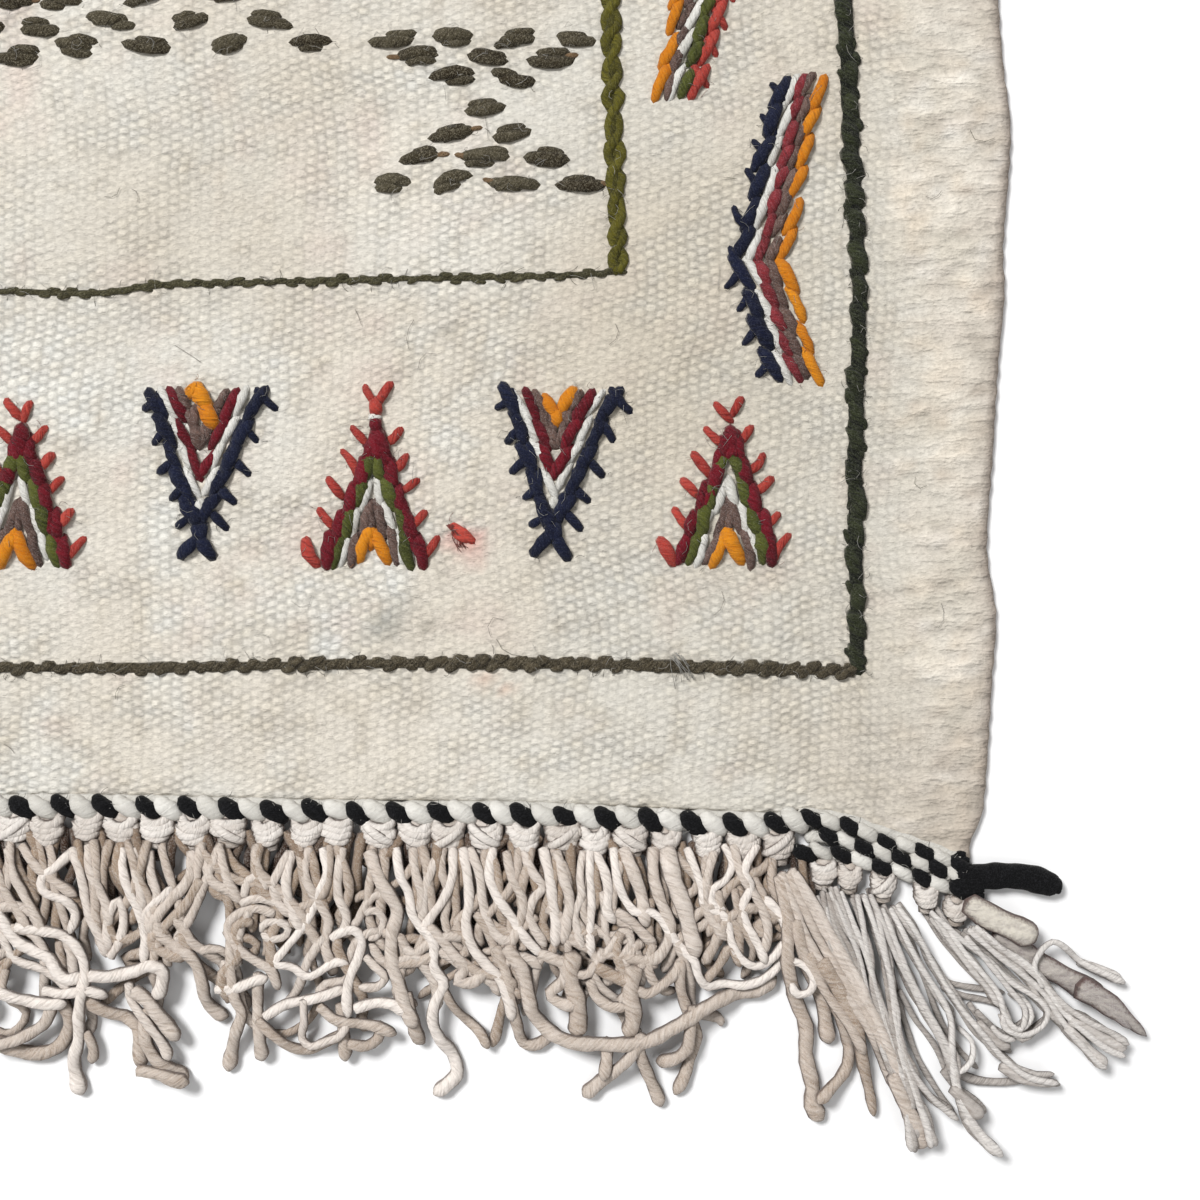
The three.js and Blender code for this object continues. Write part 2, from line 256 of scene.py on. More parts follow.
class Yarns:
    """Lengths of yarn that become one mesh. Each is a tube of two plies twisted round each other: its
    UV is the length along the yarn and the turn within the twist, and it has a tone of its own."""

    def __init__(self):
        self.verts, self.tones, self.count = [], [], 0
        self.faces = {3: [], 4: []}
        self.uvs = {3: [], 4: []}
        self.slots = {3: [], 4: []}

    def add(
        self, path, half, sides=6, flat=1.0, ply=9.0, swell=0.08, tone=0.5, slot=0, up=(0, 0, 1), closed=False
    ):
        """A tube along path. flat squashes it, ply is the length of a turn of its twist, swell how far its
        plies stand out, and up the direction that is its top."""
        path = np.asarray(path, float)
        steps = len(path)
        half = np.broadcast_to(np.asarray(half, float), (steps,))
        run = unit(np.roll(path, -1, 0) - np.roll(path, 1, 0)) if closed else unit(np.gradient(path, axis=0))
        across = unit(np.cross(run, np.asarray(up, float)))
        above = np.cross(across, run)
        along = np.concatenate([[0], np.cumsum(np.linalg.norm(np.diff(path, axis=0), axis=1))])
        share = np.arange(sides) / sides
        turn = 2 * math.pi * share + math.pi / 2
        lobes = 1 + swell * np.cos(4 * math.pi * (share[None, :] - along[:, None] / ply))
        ring = np.cos(turn)[:, None] * across[:, None] + flat * np.sin(turn)[:, None] * above[:, None]
        rings = path[:, None] + (half[:, None] * lobes)[:, :, None] * ring
        i, k = np.meshgrid(np.arange(steps if closed else steps - 1), np.arange(sides), indexing="ij")
        after, beside = (i + 1) % steps, (k + 1) % sides
        quads = np.stack([i * sides + k, after * sides + k, after * sides + beside, i * sides + beside], -1)
        near = along[i]
        far = np.append(along, along[-1] + np.linalg.norm(path[0] - path[-1]))[i + 1]
        left, right = k / sides, (k + 1) / sides
        corners = ((near, left), (far, left), (far, right), (near, right))
        uv = np.stack([number for at, turned in corners for number in (at, turned - at / ply)], -1)
        self._keep(4, quads.reshape(-1, 4), uv.reshape(-1, 4, 2), slot)
        verts = rings.reshape(-1, 3)
        if not closed:
            tips = path[[0, -1]] - np.array([[1], [-1]]) * run[[0, -1]] * half[[0, -1], None] * TIP_BULGE
            verts = np.concatenate([verts, tips])
            k = np.arange(sides)
            first, last = steps * sides, steps * sides + 1
            start = np.stack([np.full(sides, first), k, (k + 1) % sides], -1)
            base = (steps - 1) * sides
            end = np.stack([np.full(sides, last), base + (k + 1) % sides, base + k], -1)
            caps = np.concatenate([start, end])
            cap_uv = np.stack([np.zeros(caps.shape), caps % sides / sides], -1)
            self._keep(3, caps, cap_uv, slot)
        self.verts.append(verts)
        self.tones.append(np.full(len(verts), tone))
        self.count += len(verts)

    def _keep(self, size, faces, uv, slot):
        self.faces[size].append(faces + self.count)
        self.uvs[size].append(uv)
        self.slots[size].append(np.full(len(faces), slot))

    def piece(self, name, materials, turned=False):
        """One mesh of all the yarns. turned puts it at the far end or the left side."""
        verts = np.concatenate(self.verts) * ((-1, -1, 1) if turned else (1, 1, 1))
        verts[:, 2] = np.maximum(verts[:, 2], LOWEST)
        sizes = [size for size in self.faces if self.faces[size]]
        return new_piece(
            name,
            verts,
            [np.concatenate(self.faces[size]) for size in sizes],
            materials,
            np.concatenate([np.concatenate(self.uvs[size]).reshape(-1, 2) for size in sizes]),
            np.concatenate([np.concatenate(self.slots[size]) for size in sizes]),
            {"tone": np.concatenate(self.tones)},
        )


# Shader tools


class Value:
    """A number or vector in a node tree, so that a tree can be written as sums and products."""

    def __init__(self, tree, socket):
        self.tree, self.socket = tree, socket

    def maths(self, operation, *others):
        return maths(self.tree, operation, self, *others)

    def __add__(self, other):
        return self.maths("ADD", other)

    def __sub__(self, other):
        return self.maths("SUBTRACT", other)

    def __mul__(self, other):
        return self.maths("MULTIPLY", other)

    def __rsub__(self, other):
        return maths(self.tree, "SUBTRACT", other, self)

    def __getitem__(self, axis):
        """One of the three numbers of a vector."""
        return node(self.tree, "ShaderNodeSeparateXYZ", Vector=self)[axis]

    __radd__ = __add__
    __rmul__ = __mul__


def join(tree, value, socket):
    if isinstance(value, Value):
        tree.links.new(value.socket, socket)
    else:
        socket.default_value = value


def node(tree, kind, settings=None, **values):
    """A new node, with values for its inputs by name. Gives its outputs by place."""
    made = tree.nodes.new(kind)
    for key, setting in (settings or {}).items():
        setattr(made, key, setting)
    for key, value in values.items():
        join(tree, value, made.inputs[key.replace("_", " ")])
    return [Value(tree, socket) for socket in made.outputs]


def maths(tree, operation, *values, kind="ShaderNodeMath"):
    made = tree.nodes.new(kind)
    made.operation = operation
    for value, socket in zip(values, made.inputs):
        join(tree, value, socket)
    return Value(tree, made.outputs[0])


def rising(value, low, high):
    """0 below low, 1 above high, and a smooth rise from one to the other."""
    made = value.tree.nodes.new("ShaderNodeMapRange")
    made.interpolation_type = "SMOOTHSTEP"
    for key, given in (("Value", value), ("From Min", low), ("From Max", high)):
        join(value.tree, given, made.inputs[key])
    return Value(value.tree, made.outputs["Result"])


def blend(tree, amount, start, end):
    """A colour from start to end."""
    made = tree.nodes.new("ShaderNodeMix")
    made.data_type = "RGBA"
    factor, first, second = (made.inputs[i] for i in (0, 6, 7))
    for value, socket in ((amount, factor), (start, first), (end, second)):
        join(tree, value, socket)
    return Value(tree, made.outputs[2])


def stretched(place, x, y, z):
    """A place with each axis multiplied."""
    return maths(place.tree, "MULTIPLY", place, (x, y, z), kind="ShaderNodeVectorMath")


def moved(place, by):
    return maths(place.tree, "ADD", place, by, kind="ShaderNodeVectorMath")


def point(tree, x, y, z):
    return node(tree, "ShaderNodeCombineXYZ", X=x, Y=y, Z=z)[0]


def noise(place, scale, detail=2.0, rough=0.5):
    looks = dict(Vector=place, Scale=scale, Detail=detail, Roughness=rough)
    return node(place.tree, "ShaderNodeTexNoise", **looks)[0]


def shared(name, inputs, outputs, make):
    """A node group for several materials. make takes the tree and the inputs, and gives the outputs."""
    tree = bpy.data.node_groups.new(name, "ShaderNodeTree")
    for label, kind in inputs:
        tree.interface.new_socket(label, in_out="INPUT", socket_type=kind)
    for label, kind in outputs:
        tree.interface.new_socket(label, in_out="OUTPUT", socket_type=kind)
    entry = tree.nodes.new("NodeGroupInput")
    leaving = tree.nodes.new("NodeGroupOutput")
    given = [Value(tree, entry.outputs[label]) for label, _ in inputs]
    for (label, _), value in zip(outputs, make(tree, *given)):
        join(tree, value, leaving.inputs[label])
    return tree


def placed(tree, group, **values):
    """A shared group in a material. Gives its outputs by place."""
    return node(tree, "ShaderNodeGroup", {"node_tree": group}, **values)


def srgb(code):
    """The linear colour of a six-digit sRGB code."""
    parts = [int(code[i : i + 2], 16) / 255 for i in (0, 2, 4)]
    return tuple(c / 12.92 if c < 0.04045 else ((c + 0.055) / 1.055) ** 2.4 for c in parts) + (1,)


NUMBER, PLACE = "NodeSocketFloat", "NodeSocketVector"


def plied_twist(tree, turn):
    """Two plies twisted round each other: rounded, with a groove between them."""
    lobe = (turn * (2 * math.pi)).maths("COSINE").maths("ABSOLUTE")
    return lobe, 1 - rising(lobe, 0.0, 0.5)


def spun_fibres(tree, place, along, turn):
    """Fine fibres that run with the twist, and crinkled loose ones that lie across it."""
    angle = turn * (2 * math.pi)
    round_yarn = point(tree, angle.maths("COSINE") * 1.8, angle.maths("SINE") * 1.8, along * 0.3)
    streaks = noise(moved(round_yarn, stretched(place, 0.13, 0.17, 0.11)), 1.0, 2.0, 0.65)
    crinkled = noise(place, 1.5, 1.0, 0.5)
    return streaks, 1 - rising((crinkled - 0.5).maths("ABSOLUTE"), 0.005, 0.06), crinkled


def bead_lattice(tree, weave, odd):
    """Every second warp column of a plain weave: a row of small round puffs, each a little different."""
    u, v = weave[0] + 0.5 * odd, weave[1] + 0.5 * odd
    cell = point(tree, u.maths("FLOOR") + 57.0 * odd, v.maths("FLOOR"), 0.0)
    random = node(tree, "ShaderNodeTexWhiteNoise", {"noise_dimensions": "2D"}, Vector=cell)[1]
    across = u.maths("FRACT") - 0.5 + (random[0] - 0.5) * 0.08
    up = v.maths("FRACT") - 0.5 + (random[1] - 0.5) * 0.14
    puff = rising(across.maths("ABSOLUTE"), 0.31, 0.02) * rising(up.maths("ABSOLUTE"), 0.5, 0.04)
    return puff * (0.55 + random[2] * 0.75), random[0]


def plain_weave(tree, weave):
    """The beaded face of a plain weave: its height from 0 to 1, and a random number for each bead."""
    flat = {"noise_dimensions": "2D"}
    wander = node(tree, "ShaderNodeTexNoise", flat, Vector=weave, Scale=0.3, Detail=2.0)[1]
    bent = moved(weave, stretched(wander, 0.45, 0.95, 0.0))
    even, even_random = bead_lattice(tree, bent, 0)
    odd, odd_random = bead_lattice(tree, bent, 1)
    picked = even.maths("GREATER_THAN", odd)
    return even + odd, picked * even_random + (1 - picked) * odd_random


plied_twist_group = shared(
    "plied twist", [("Turn", NUMBER)], [("Height", NUMBER), ("Groove", NUMBER)], plied_twist
)
spun_fibres_group = shared(
    "spun fibres",
    [("Place", PLACE), ("Along", NUMBER), ("Turn", NUMBER)],
    [("Height", NUMBER), ("Hairs", NUMBER), ("Crinkled", NUMBER)],
    spun_fibres,
)
plain_weave_group = shared(
    "plain weave", [("Weave", PLACE)], [("Height", NUMBER), ("Bead", NUMBER)], plain_weave
)


# Finishes


def new_material(name):
    material = bpy.data.materials.new(name)
    material.use_nodes = True
    return material, material.node_tree


def mesh_value(tree, name, output=2):
    return node(tree, "ShaderNodeAttribute", {"attribute_name": name})[output]


def millimetres(tree):
    """Where a point lies on the rug."""
    return stretched(node(tree, "ShaderNodeTexCoord")[3], 1 / MM, 1 / MM, 1 / MM)


def finish_with(tree, colour, height, rough, sheen):
    """Colour and relief, in millimetres, on a matte shader with the soft rim of wool."""
    shader = tree.nodes["Principled BSDF"]
    shader.inputs["Roughness"].default_value = rough
    shader.inputs["Specular IOR Level"].default_value = 0.12
    shader.inputs["Sheen Weight"].default_value = sheen
    shader.inputs["Sheen Roughness"].default_value = 0.6
    join(tree, colour, shader.inputs["Base Color"])
    relief = node(tree, "ShaderNodeBump", Height=height, Distance=MM, Strength=1.0)[0]
    join(tree, relief, shader.inputs["Normal"])


def brightness(tree, colour, value):
    return node(tree, "ShaderNodeHueSaturation", Color=colour, Value=value)[0]


CLOTH_FLUFF = "c6c0b3"


def wool(
    name, dull, pale, deep, hair, hairs, twist=0.1, fuzz=0.5, streak=1.5,
    rim=CLOTH_FLUFF, feather=0.5, side=0.62, sheen=0.05,
):
    """Plied wool yarn, dull to pale by its tone, and painted in the shade of the yarns above where its tone
    is below nought. deep is the colour down in its grooves, as painted shade, hair that of the loose hairs,
    hairs how much of them shows and streak how far the fibres differ. Its sides, from where they slope as
    side says, take the colour rim, as far as feather says: where rim is the cloth's colour, fluff of the
    cloth that a stitch lies on; where it is darker than the wool, painted shade on the sides of yarns and
    between them."""
    material, tree = new_material(name)
    place = millimetres(tree)
    uv = node(tree, "ShaderNodeUVMap", {"uv_map": "yarn"})[0]
    lobe, groove = placed(tree, plied_twist_group, Turn=uv[1])
    fibres, loose, crinkled = placed(tree, spun_fibres_group, Place=place, Along=uv[0], Turn=uv[1])
    tone = mesh_value(tree, "tone")
    base = blend(tree, tone + (fibres - 0.5) * streak, srgb(dull), srgb(pale))
    # The grooves between the plies go towards deep: painted shade.
    base = blend(tree, groove * (twist * 1.4) + rising(fibres, 0.5, 0.3) * (streak * 0.2), base, srgb(deep))
    base = blend(tree, rising(tone, 0.0, -1.0), base, srgb(deep))
    base = blend(tree, loose * hairs, base, srgb(hair))
    # The sides, where the normal turns from straight up, go towards rim: painted shade where rim is darker
    # than the wool.
    upward = node(tree, "ShaderNodeNewGeometry")[1][2]
    base = blend(tree, rising(upward + (crinkled - 0.5) * 0.5, side, side - 0.57) * feather, base, srgb(rim))
    finish_with(tree, base, lobe * twist + fibres * (fuzz * 1.6) + loose * 0.08, 0.9, sheen)
    return material


def cream_cloth():
    """Undyed wool in plain weave, with its weft crowded to a felted, streaky face at the selvages. The mesh
    gives the tint, and how far a place is beaded and how far it is selvage."""
    material, tree = new_material("cream cloth")
    place = millimetres(tree)
    weave = node(tree, "ShaderNodeUVMap", {"uv_map": "weave"})[0]
    tint = mesh_value(tree, "tint", 0)
    beaded = mesh_value(tree, "beaded")
    selvage = mesh_value(tree, "selvage")
    beads, bead = placed(tree, plain_weave_group, Weave=weave)
    long_streaks = noise(stretched(place, 0.12, 0.32, 0.2), 1.0, 2.0, 0.55)
    fibres = noise(stretched(place, 0.8, 1.3, 0.8), 1.0, 3.0, 0.6)
    height = beads * beaded * 0.42 + long_streaks * (selvage * 1.8 + 0.5) + fibres * 0.5
    # shade darkens the colour: at random by bead, fibre and streak, and, in its last term, as painted shade
    # in the hollows between the beads.
    shade = (
        (bead - 0.5) * beaded * 0.1
        + (fibres - 0.5) * 0.6
        + (long_streaks - 0.5) * (selvage * 0.6 + 0.15)
        - rising(beads, 0.5, 0.0) * beaded * 0.27
    )
    colour = blend(tree, bead * beaded * 0.2, tint, srgb("c4baa3"))
    finish_with(tree, brightness(tree, colour, shade + 1.0), height, 0.92, 0.0)
    return material


# Its rim is painted shade on the sides of the white yarns.
white_wool = wool(
    "white wool", "b5b1a8", "dddad3", "a39e96", "efeeea", 0.25,
    twist=0.03, fuzz=0.25, streak=0.8, rim="8d867c", feather=0.35, sheen=0.12,
)
black_wool = wool(
    "black wool", "040405", "0a0a0c", "010101", "47474b", 0.2,
    twist=0.06, fuzz=0.6, streak=0.8, rim="55524e", feather=0.3, sheen=0.03,
)
# rim is painted shade on the sides of the fringe's yarns and between them.
IN_FRINGE = dict(streak=0.8, rim="452f20", sheen=0.12)
fringe_wool = wool(
    "fringe wool", "98836f", "ebe2da", "3a2518", "f2ebe2", 0.25,
    twist=0.03, fuzz=0.4, feather=0.75, side=0.72, **IN_FRINGE,
)
knot_wool = wool(
    "knot wool", "a89a8d", "e6dfd8", "57432f", "efe8df", 0.3,
    twist=0.04, fuzz=0.4, feather=0.85, side=0.78, **IN_FRINGE,
)
cord_wool = wool(
    "corner wool", "867a70", "e6e1dc", "4c3d33", "ece8e4", 0.15,
    twist=0.12, fuzz=0.3, feather=0.6, side=0.7, **IN_FRINGE,
)
# Its rim is painted shade along the edges of the lock.
lock_wool = wool(
    "felted lock", "8d8484", "cfc8bb", "55443f", "dad5d2", 0.25,
    twist=0.0, fuzz=0.5, streak=0.9, rim="4a2c26", feather=0.9, side=0.96, sheen=0.12,
)


# Cloth

RIM_LEVEL = 1.6
SIDE_ROUNDING = 3.6
END_ROUNDING = 1.3
RIM_STEPS = (0, 0.35, 1.0, 2.1, 3.6)
CLOTH_STEP = 3.05
RIB_PITCH = 7.2
RIB_OUT = 0.22
RIB_UP = 0.2
# Under the rim: how far in from it, and at what level, each lower row of points lies.
UNDER_RIM = ((0.3, 0.7), (1.3, 0.0))
WAVES = 24
WAVE_LENGTHS = (26, 105)
WAVE_STEEPNESS = 0.0023
LOWEST_HOLLOW = -1.1
HIGHEST_FOLD = 1.4


def broad_waves():
    """Waves to the millimetre across and along, size and start of each soft wave in the cloth's face."""
    random = np.random.default_rng(11)
    length = random.uniform(*WAVE_LENGTHS, WAVES)
    way = random.uniform(0, math.pi, WAVES)
    start = random.uniform(0, 1, WAVES)
    return np.stack([np.cos(way) / length, np.sin(way) / length, length * WAVE_STEEPNESS, start], -1)


CLOTH_WAVES = broad_waves()


def cloth_relief(x, y):
    """How far the cloth's face lies above its even level. Its rims lie even."""
    x, y = np.asarray(x, float), np.asarray(y, float)
    relief = np.zeros(np.broadcast(x, y).shape)
    for across, along, size, start in CLOTH_WAVES:
        relief += size * np.sin(2 * math.pi * (x * across + y * along + start))
    inland = smoothstep((HALF_WIDTH - 4 - np.abs(x)) / 30) * smoothstep((HALF_LENGTH - 3 - np.abs(y)) / 25)
    return np.clip(relief, LOWEST_HOLLOW, HIGHEST_FOLD) * inland


NOISE_REACH = (450, 500)


def soft_noise(random, x, y, size, levels=2):
    """Smooth random hills between about -1 and 1, as wide as size in millimetres."""
    total = np.zeros(x.shape)
    for level in range(levels):
        step = size / 2**level
        grid = random.uniform(-1, 1, [int(2 * reach / step) + 4 for reach in NOISE_REACH])
        u, v = (x + NOISE_REACH[0]) / step, (y + NOISE_REACH[1]) / step
        i, k = u.astype(int), v.astype(int)
        s, t = smoothstep(u - i), smoothstep(v - k)
        low = between(grid[i, k], grid[i + 1, k], s)
        high = between(grid[i, k + 1], grid[i + 1, k + 1], s)
        total += between(low, high, t) * 0.6**level
    return total


# Marks of use and of hand work on the cloth, and broad patches where it is darker or lighter: x, y, half
# width, half height, strength and colour.
MARKS_AND_PATCHES = [
    (133, -264.5, 7.5, 5, 0.6, "c98a82"),
    (136, -269, 5, 5, 0.35, "cfa096"),
    (109.5, -290, 7, 6.5, 0.6, "8b8b85"),
    (114, -284, 6, 5, 0.35, "9d9c96"),
    (128, -202.5, 2.6, 2.0, 0.7, "827f78"),
    (122.4, -291, 2.6, 2.0, 0.7, "736f68"),
    (273, -291.6, 2.4, 1.8, 0.7, "716a62"),
    (139.5, -306.6, 5, 3.8, 0.4, "cda18b"),
    (146, -310, 3, 2.2, 0.4, "d0987c"),
    (60, -330, 16, 8, 0.2, "b8ab98"),
    (204, -205, 62, 80, 0.4, "b5ab99"),
    (90, -118, 45, 32, 0.4, "bfb5a5"),
    (50, -165, 80, 50, 0.45, "bab1a2"),
    (126, -160, 50, 30, 0.35, "dbd7ce"),
    (150, -338, 150, 32, 0.15, "ded9d0"),
]
# Marks and patches wider than this lie on the left side too.
BROAD_PATCH = 12
SELVAGE_FROM = 254
SELVAGE_BLEND = 24


def tinted(colour, *steps):
    """A colour moved by each amount towards that of its code, one after the other."""
    for amount, code in steps:
        colour = between(colour, np.array(srgb(code)), np.clip(amount, 0, 1)[..., None])
    return colour


def cloth_tints(x, y, side, end):
    """The colour of the undyed wool over the cloth, with painted shade along its sides, and how far each
    place is beaded and is selvage.
    """
    random = np.random.default_rng(61)
    broad = soft_noise(random, x, y, 46)
    mottled = soft_noise(random, x, y, 17, 3)
    small = soft_noise(random, x, y, 6, 2)
    selvage = smoothstep((np.abs(x) + 9 * mottled + 3 * small - SELVAGE_FROM) / SELVAGE_BLEND)
    beaded = (0.76 + 0.36 * np.clip(mottled * 1.5 + small, -1, 0.7)) * (1 - 0.92 * selvage)
    colour = tinted(
        np.broadcast_to(srgb("cfccc4"), x.shape + (4,)),
        (0.5 + broad, "cdc6ba"),
        (0.8 * (mottled - 0.15), "d9d8d2"),
        (0.7 * (small - 0.2), "c1b9ac"),
        (0.55 * (soft_noise(random, x, y, 15) - 0.3), "ccbbb1"),
        (0.35 * smoothstep((np.abs(x) - 90) / 120), "bab2a3"),
    )
    felted = tinted(
        np.broadcast_to(srgb("cec7bb"), x.shape + (4,)),
        (0.6 + mottled, "c2bbae"),
        (0.9 * (soft_noise(random, x * 0.5, y, 5) - 0.1), "dcd7ce"),
        (0.8 * (soft_noise(random, x * 0.5, y, 4) - 0.1), "b0a598"),
        (0.6 * (small - 0.1), "d3c5b2"),
    )
    corner = smoothstep((side - 70) / -60) * smoothstep((end - 65) / -60) * (x * y < 0)
    # Darker towards the sides and most at the very edge: partly the wool's colour, partly painted shade where
    # the cloth rounds down. Two corners are tinted darker too.
    colour = tinted(
        between(colour, felted, selvage[..., None]),
        (0.5 * smoothstep(1 - side / 12), "a99d92"),
        (0.8 * smoothstep(1 - side / 4), "8a7e75"),
        (0.5 * corner, "a79b8e"),
    )
    for at_x, at_y, wide, tall, strength, code in MARKS_AND_PATCHES:
        for sign in (1, -1) if wide > BROAD_PATCH else (1,):
            away = np.hypot((x * sign - at_x) / wide, (y * sign - at_y) / tall) + 0.25 * small
            colour = tinted(colour, (strength * smoothstep(1.15 - away), code))
    return colour, beaded, selvage


WEAVE_COLUMN = 3.1
WEAVE_PICK = 2.8


def weave_place(x, y):
    """Where a point lies in the weave, in pairs of warp columns and in picks. Both wander a little."""
    lean = 0.08 * np.sin(y / 23 + np.sin(x / 37)) + 0.04 * np.sin(y / 9.7 + x / 41)
    lift = 0.35 * np.sin(x / 43 + 1.3 * np.sin(y / 57)) + 0.15 * np.sin(x / 13.3 - y / 29)
    return np.stack([x / (2 * WEAVE_COLUMN) + lean, y / WEAVE_PICK + lift], -1)


def cloth_top(x, y):
    return CLOTH_TOP + cloth_relief(x, y)


def rim_fractions(length, step):
    """Places across the cloth as fractions of its width, close together at both rims."""
    rim = np.array(RIM_STEPS)
    count = round((length - 2 * rim[-1]) / step)
    inner = np.linspace(rim[-1], length - rim[-1], count + 1)
    return np.concatenate([rim[:-1], inner, length - rim[:-1][::-1]]) / length


def rim_profile(inset, rounding):
    """0 at the rim and 1 inside it, round in between."""
    t = np.clip(inset / rounding, 0, 1)
    return np.sqrt(1 - (1 - t) ** 2)


def woven_cloth():
    """One closed mesh: the face with its rims, the underside of the rims, and a level bottom."""
    across = rim_fractions(2 * HALF_WIDTH, CLOTH_STEP)
    along = rim_fractions(2 * HALF_LENGTH, CLOTH_STEP)
    u, v = np.meshgrid(across, along, indexing="ij")
    x = between(-HALF_WIDTH, HALF_WIDTH, u)
    y = between(-HALF_LENGTH, HALF_LENGTH, v)
    weave = weave_place(x, y).reshape(-1, 2)
    for _ in range(4):
        y = between(near_edge_y(x), -near_edge_y(-x), v)
        left, right = -right_side_x(-y), right_side_x(y)
        x = between(left, right, u)
    side = np.minimum(x - left, right - x)
    end = np.minimum(y - near_edge_y(x), -near_edge_y(-x) - y)
    rib = np.sin(2 * math.pi * y / RIB_PITCH + 1.7 * np.sin(y / 31)) * np.exp(-side / 9)
    x = x + RIB_OUT * rib * np.sign(x)
    rim = rim_profile(side, SIDE_ROUNDING) * rim_profile(end, END_ROUNDING)
    z = RIM_LEVEL + (cloth_top(x, y) + RIB_UP * rib - RIM_LEVEL) * rim
    verts = np.stack([x, y, z], -1).reshape(-1, 3)
    rows, columns = u.shape
    index = np.arange(rows * columns).reshape(rows, columns)
    quads = np.stack([index[:-1, :-1], index[1:, :-1], index[1:, 1:], index[:-1, 1:]], -1).reshape(-1, 4)

    ring = np.concatenate([index[:-1, 0], index[-1, :-1], index[:0:-1, -1], index[0, :0:-1]])
    inward = np.stack([np.sign(0.5 - u), np.sign(0.5 - v)], -1)
    on_side = (u == 0) | (u == 1)
    on_end = (v == 0) | (v == 1)
    inward = (inward * np.stack([on_side, on_end], -1)).reshape(-1, 2)[ring]
    lower, count, sheets = ring, len(verts), [quads]
    for inset, level in UNDER_RIM:
        below = verts[ring] + np.concatenate([inward * inset, np.zeros((len(ring), 1))], 1)
        below[:, 2] = level
        verts = np.concatenate([verts, below])
        new = np.arange(count, count + len(ring))
        count += len(ring)
        sheets.append(np.stack([lower, new, np.roll(new, -1), np.roll(lower, -1)], -1))
        lower = new
    under = lower[::-1][None]
    around = np.concatenate([np.arange(u.size), ring, ring])
    tint, beaded, selvage = cloth_tints(x, y, side, end)
    fields = {
        "tint": tint.reshape(-1, 4)[around],
        "beaded": beaded.ravel()[around],
        "selvage": selvage.ravel()[around],
    }
    polygons = [np.concatenate(sheets), under]
    uv = weave[around][np.concatenate([p.ravel() for p in polygons])]
    cloth = new_piece("cloth", verts, polygons, [cream_cloth()], uv, fields=fields, uv_name="weave")
    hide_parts("woven_cloth")


# Twined edge

BLACK, WHITE = 0, 1
EDGE_LEVEL = 3.8
FIRST_BLACK = 0.84
EVEN_TWIST = 12.55
EVEN_TWIST_ENDS = 226.8
CORNER_TWIST = 11.1
STITCH_SLANT = -43
# The low ends of a stitch under the level of the edge, for black and white.
STITCH_SINK = (0.9, 1.2)
STITCH_RISE = 2.0
# Half the length and half the thickness of the black and of the white stitches.
EVEN_SIZES = ((3.8, 2.7), (4.2, 2.8))
CORNER_SIZES = ((3.2, 2.15), (3.5, 2.1))
# The yarn that closes the gap between the cloth and the first row: place beside the core, and thickness.
LIP_PLACE = (0, 2.7, 0.75)
LIP_HALF = 1.6
# The two short rows at the corner: row, start, the middle of a black stitch, and length of a twist.
SHORT_ROWS = [(1, 236, 242.7, 10.8), (2, 233, 234.9, 11.8)]


def way_at(angle):
    return np.array([math.cos(angle), math.sin(angle)])


def left_of(way):
    return np.array([-way[1], way[0]])


def sideways(path):
    """The direction to the left of a flat path at each of its points."""
    run = unit(np.gradient(path, axis=0))
    return np.stack([-run[:, 1], run[:, 0]], -1)


def uneven(random, count, step, reach, amount):
    """A smooth random factor about 1 along a yarn."""
    marks = max(3, int(count * step / reach) + 2)
    values = random.normal(0, amount, marks)
    return 1 + np.interp(np.arange(count) * step, np.arange(marks) * reach, values)


def smooth_route(points, step):
    """Points at an even step on a smooth curve through a few hand-placed ones."""
    points = np.array(points, float)
    chord = np.concatenate([[0], np.cumsum(np.linalg.norm(np.diff(points, axis=0), axis=1))])
    fine = np.linspace(0, chord[-1], int(chord[-1] / step * 4) + 2)
    curve = np.stack([through(list(zip(chord, column)), fine) for column in points.T], -1)
    length = np.concatenate([[0], np.cumsum(np.linalg.norm(np.diff(curve, axis=0), axis=1))])
    at = np.linspace(0, length[-1], max(3, round(length[-1] / step) + 1))
    return np.stack([np.interp(at, length, column) for column in curve.T], -1)


def rounded_end(path, half, last):
    """The half thickness along a yarn that is rounded off over its last few millimetres."""
    left = np.linalg.norm(path - path[-1], axis=1)
    return half * np.sqrt(np.clip(1 - (1 - np.clip(left / last, 0, 1)) ** 2, 0.1, 1))


HAIR_HALF = 0.07


def hair(yarns, random, root, heading, length, high, low, slot, curl=0.9, half=HAIR_HALF):
    """One loose fibre, curved this way and that, from high at its root to low at its tip."""
    t = np.linspace(0, 1, 4)
    turn = heading + curl * (random.normal(0, 1) * t + random.normal(0, 0.7) * np.sin(5 * t))
    moves = np.stack([np.cos(turn), np.sin(turn)], -1) * length / 3
    flat = np.asarray(root) + np.cumsum(moves, 0) - moves[0]
    yarns.add(np.column_stack([flat, between(high, low, t)]), half, sides=3, swell=0, tone=0.5, slot=slot)


def fuzz(yarns, random, path, out, high, low, slot, count, length):
    """Loose fibres that stand off both sides of a yarn."""
    left = sideways(path)
    for at in random.integers(0, len(path), count):
        way = random.choice([-1, 1])
        root = path[at] + left[at] * way * out * random.uniform(0.3, 0.9)
        heading = math.atan2(left[at][1] * way, left[at][0] * way) + random.normal(0, 0.8)
        hair(yarns, random, root, heading, random.uniform(0.6, 1.4) * length, high, low, slot)


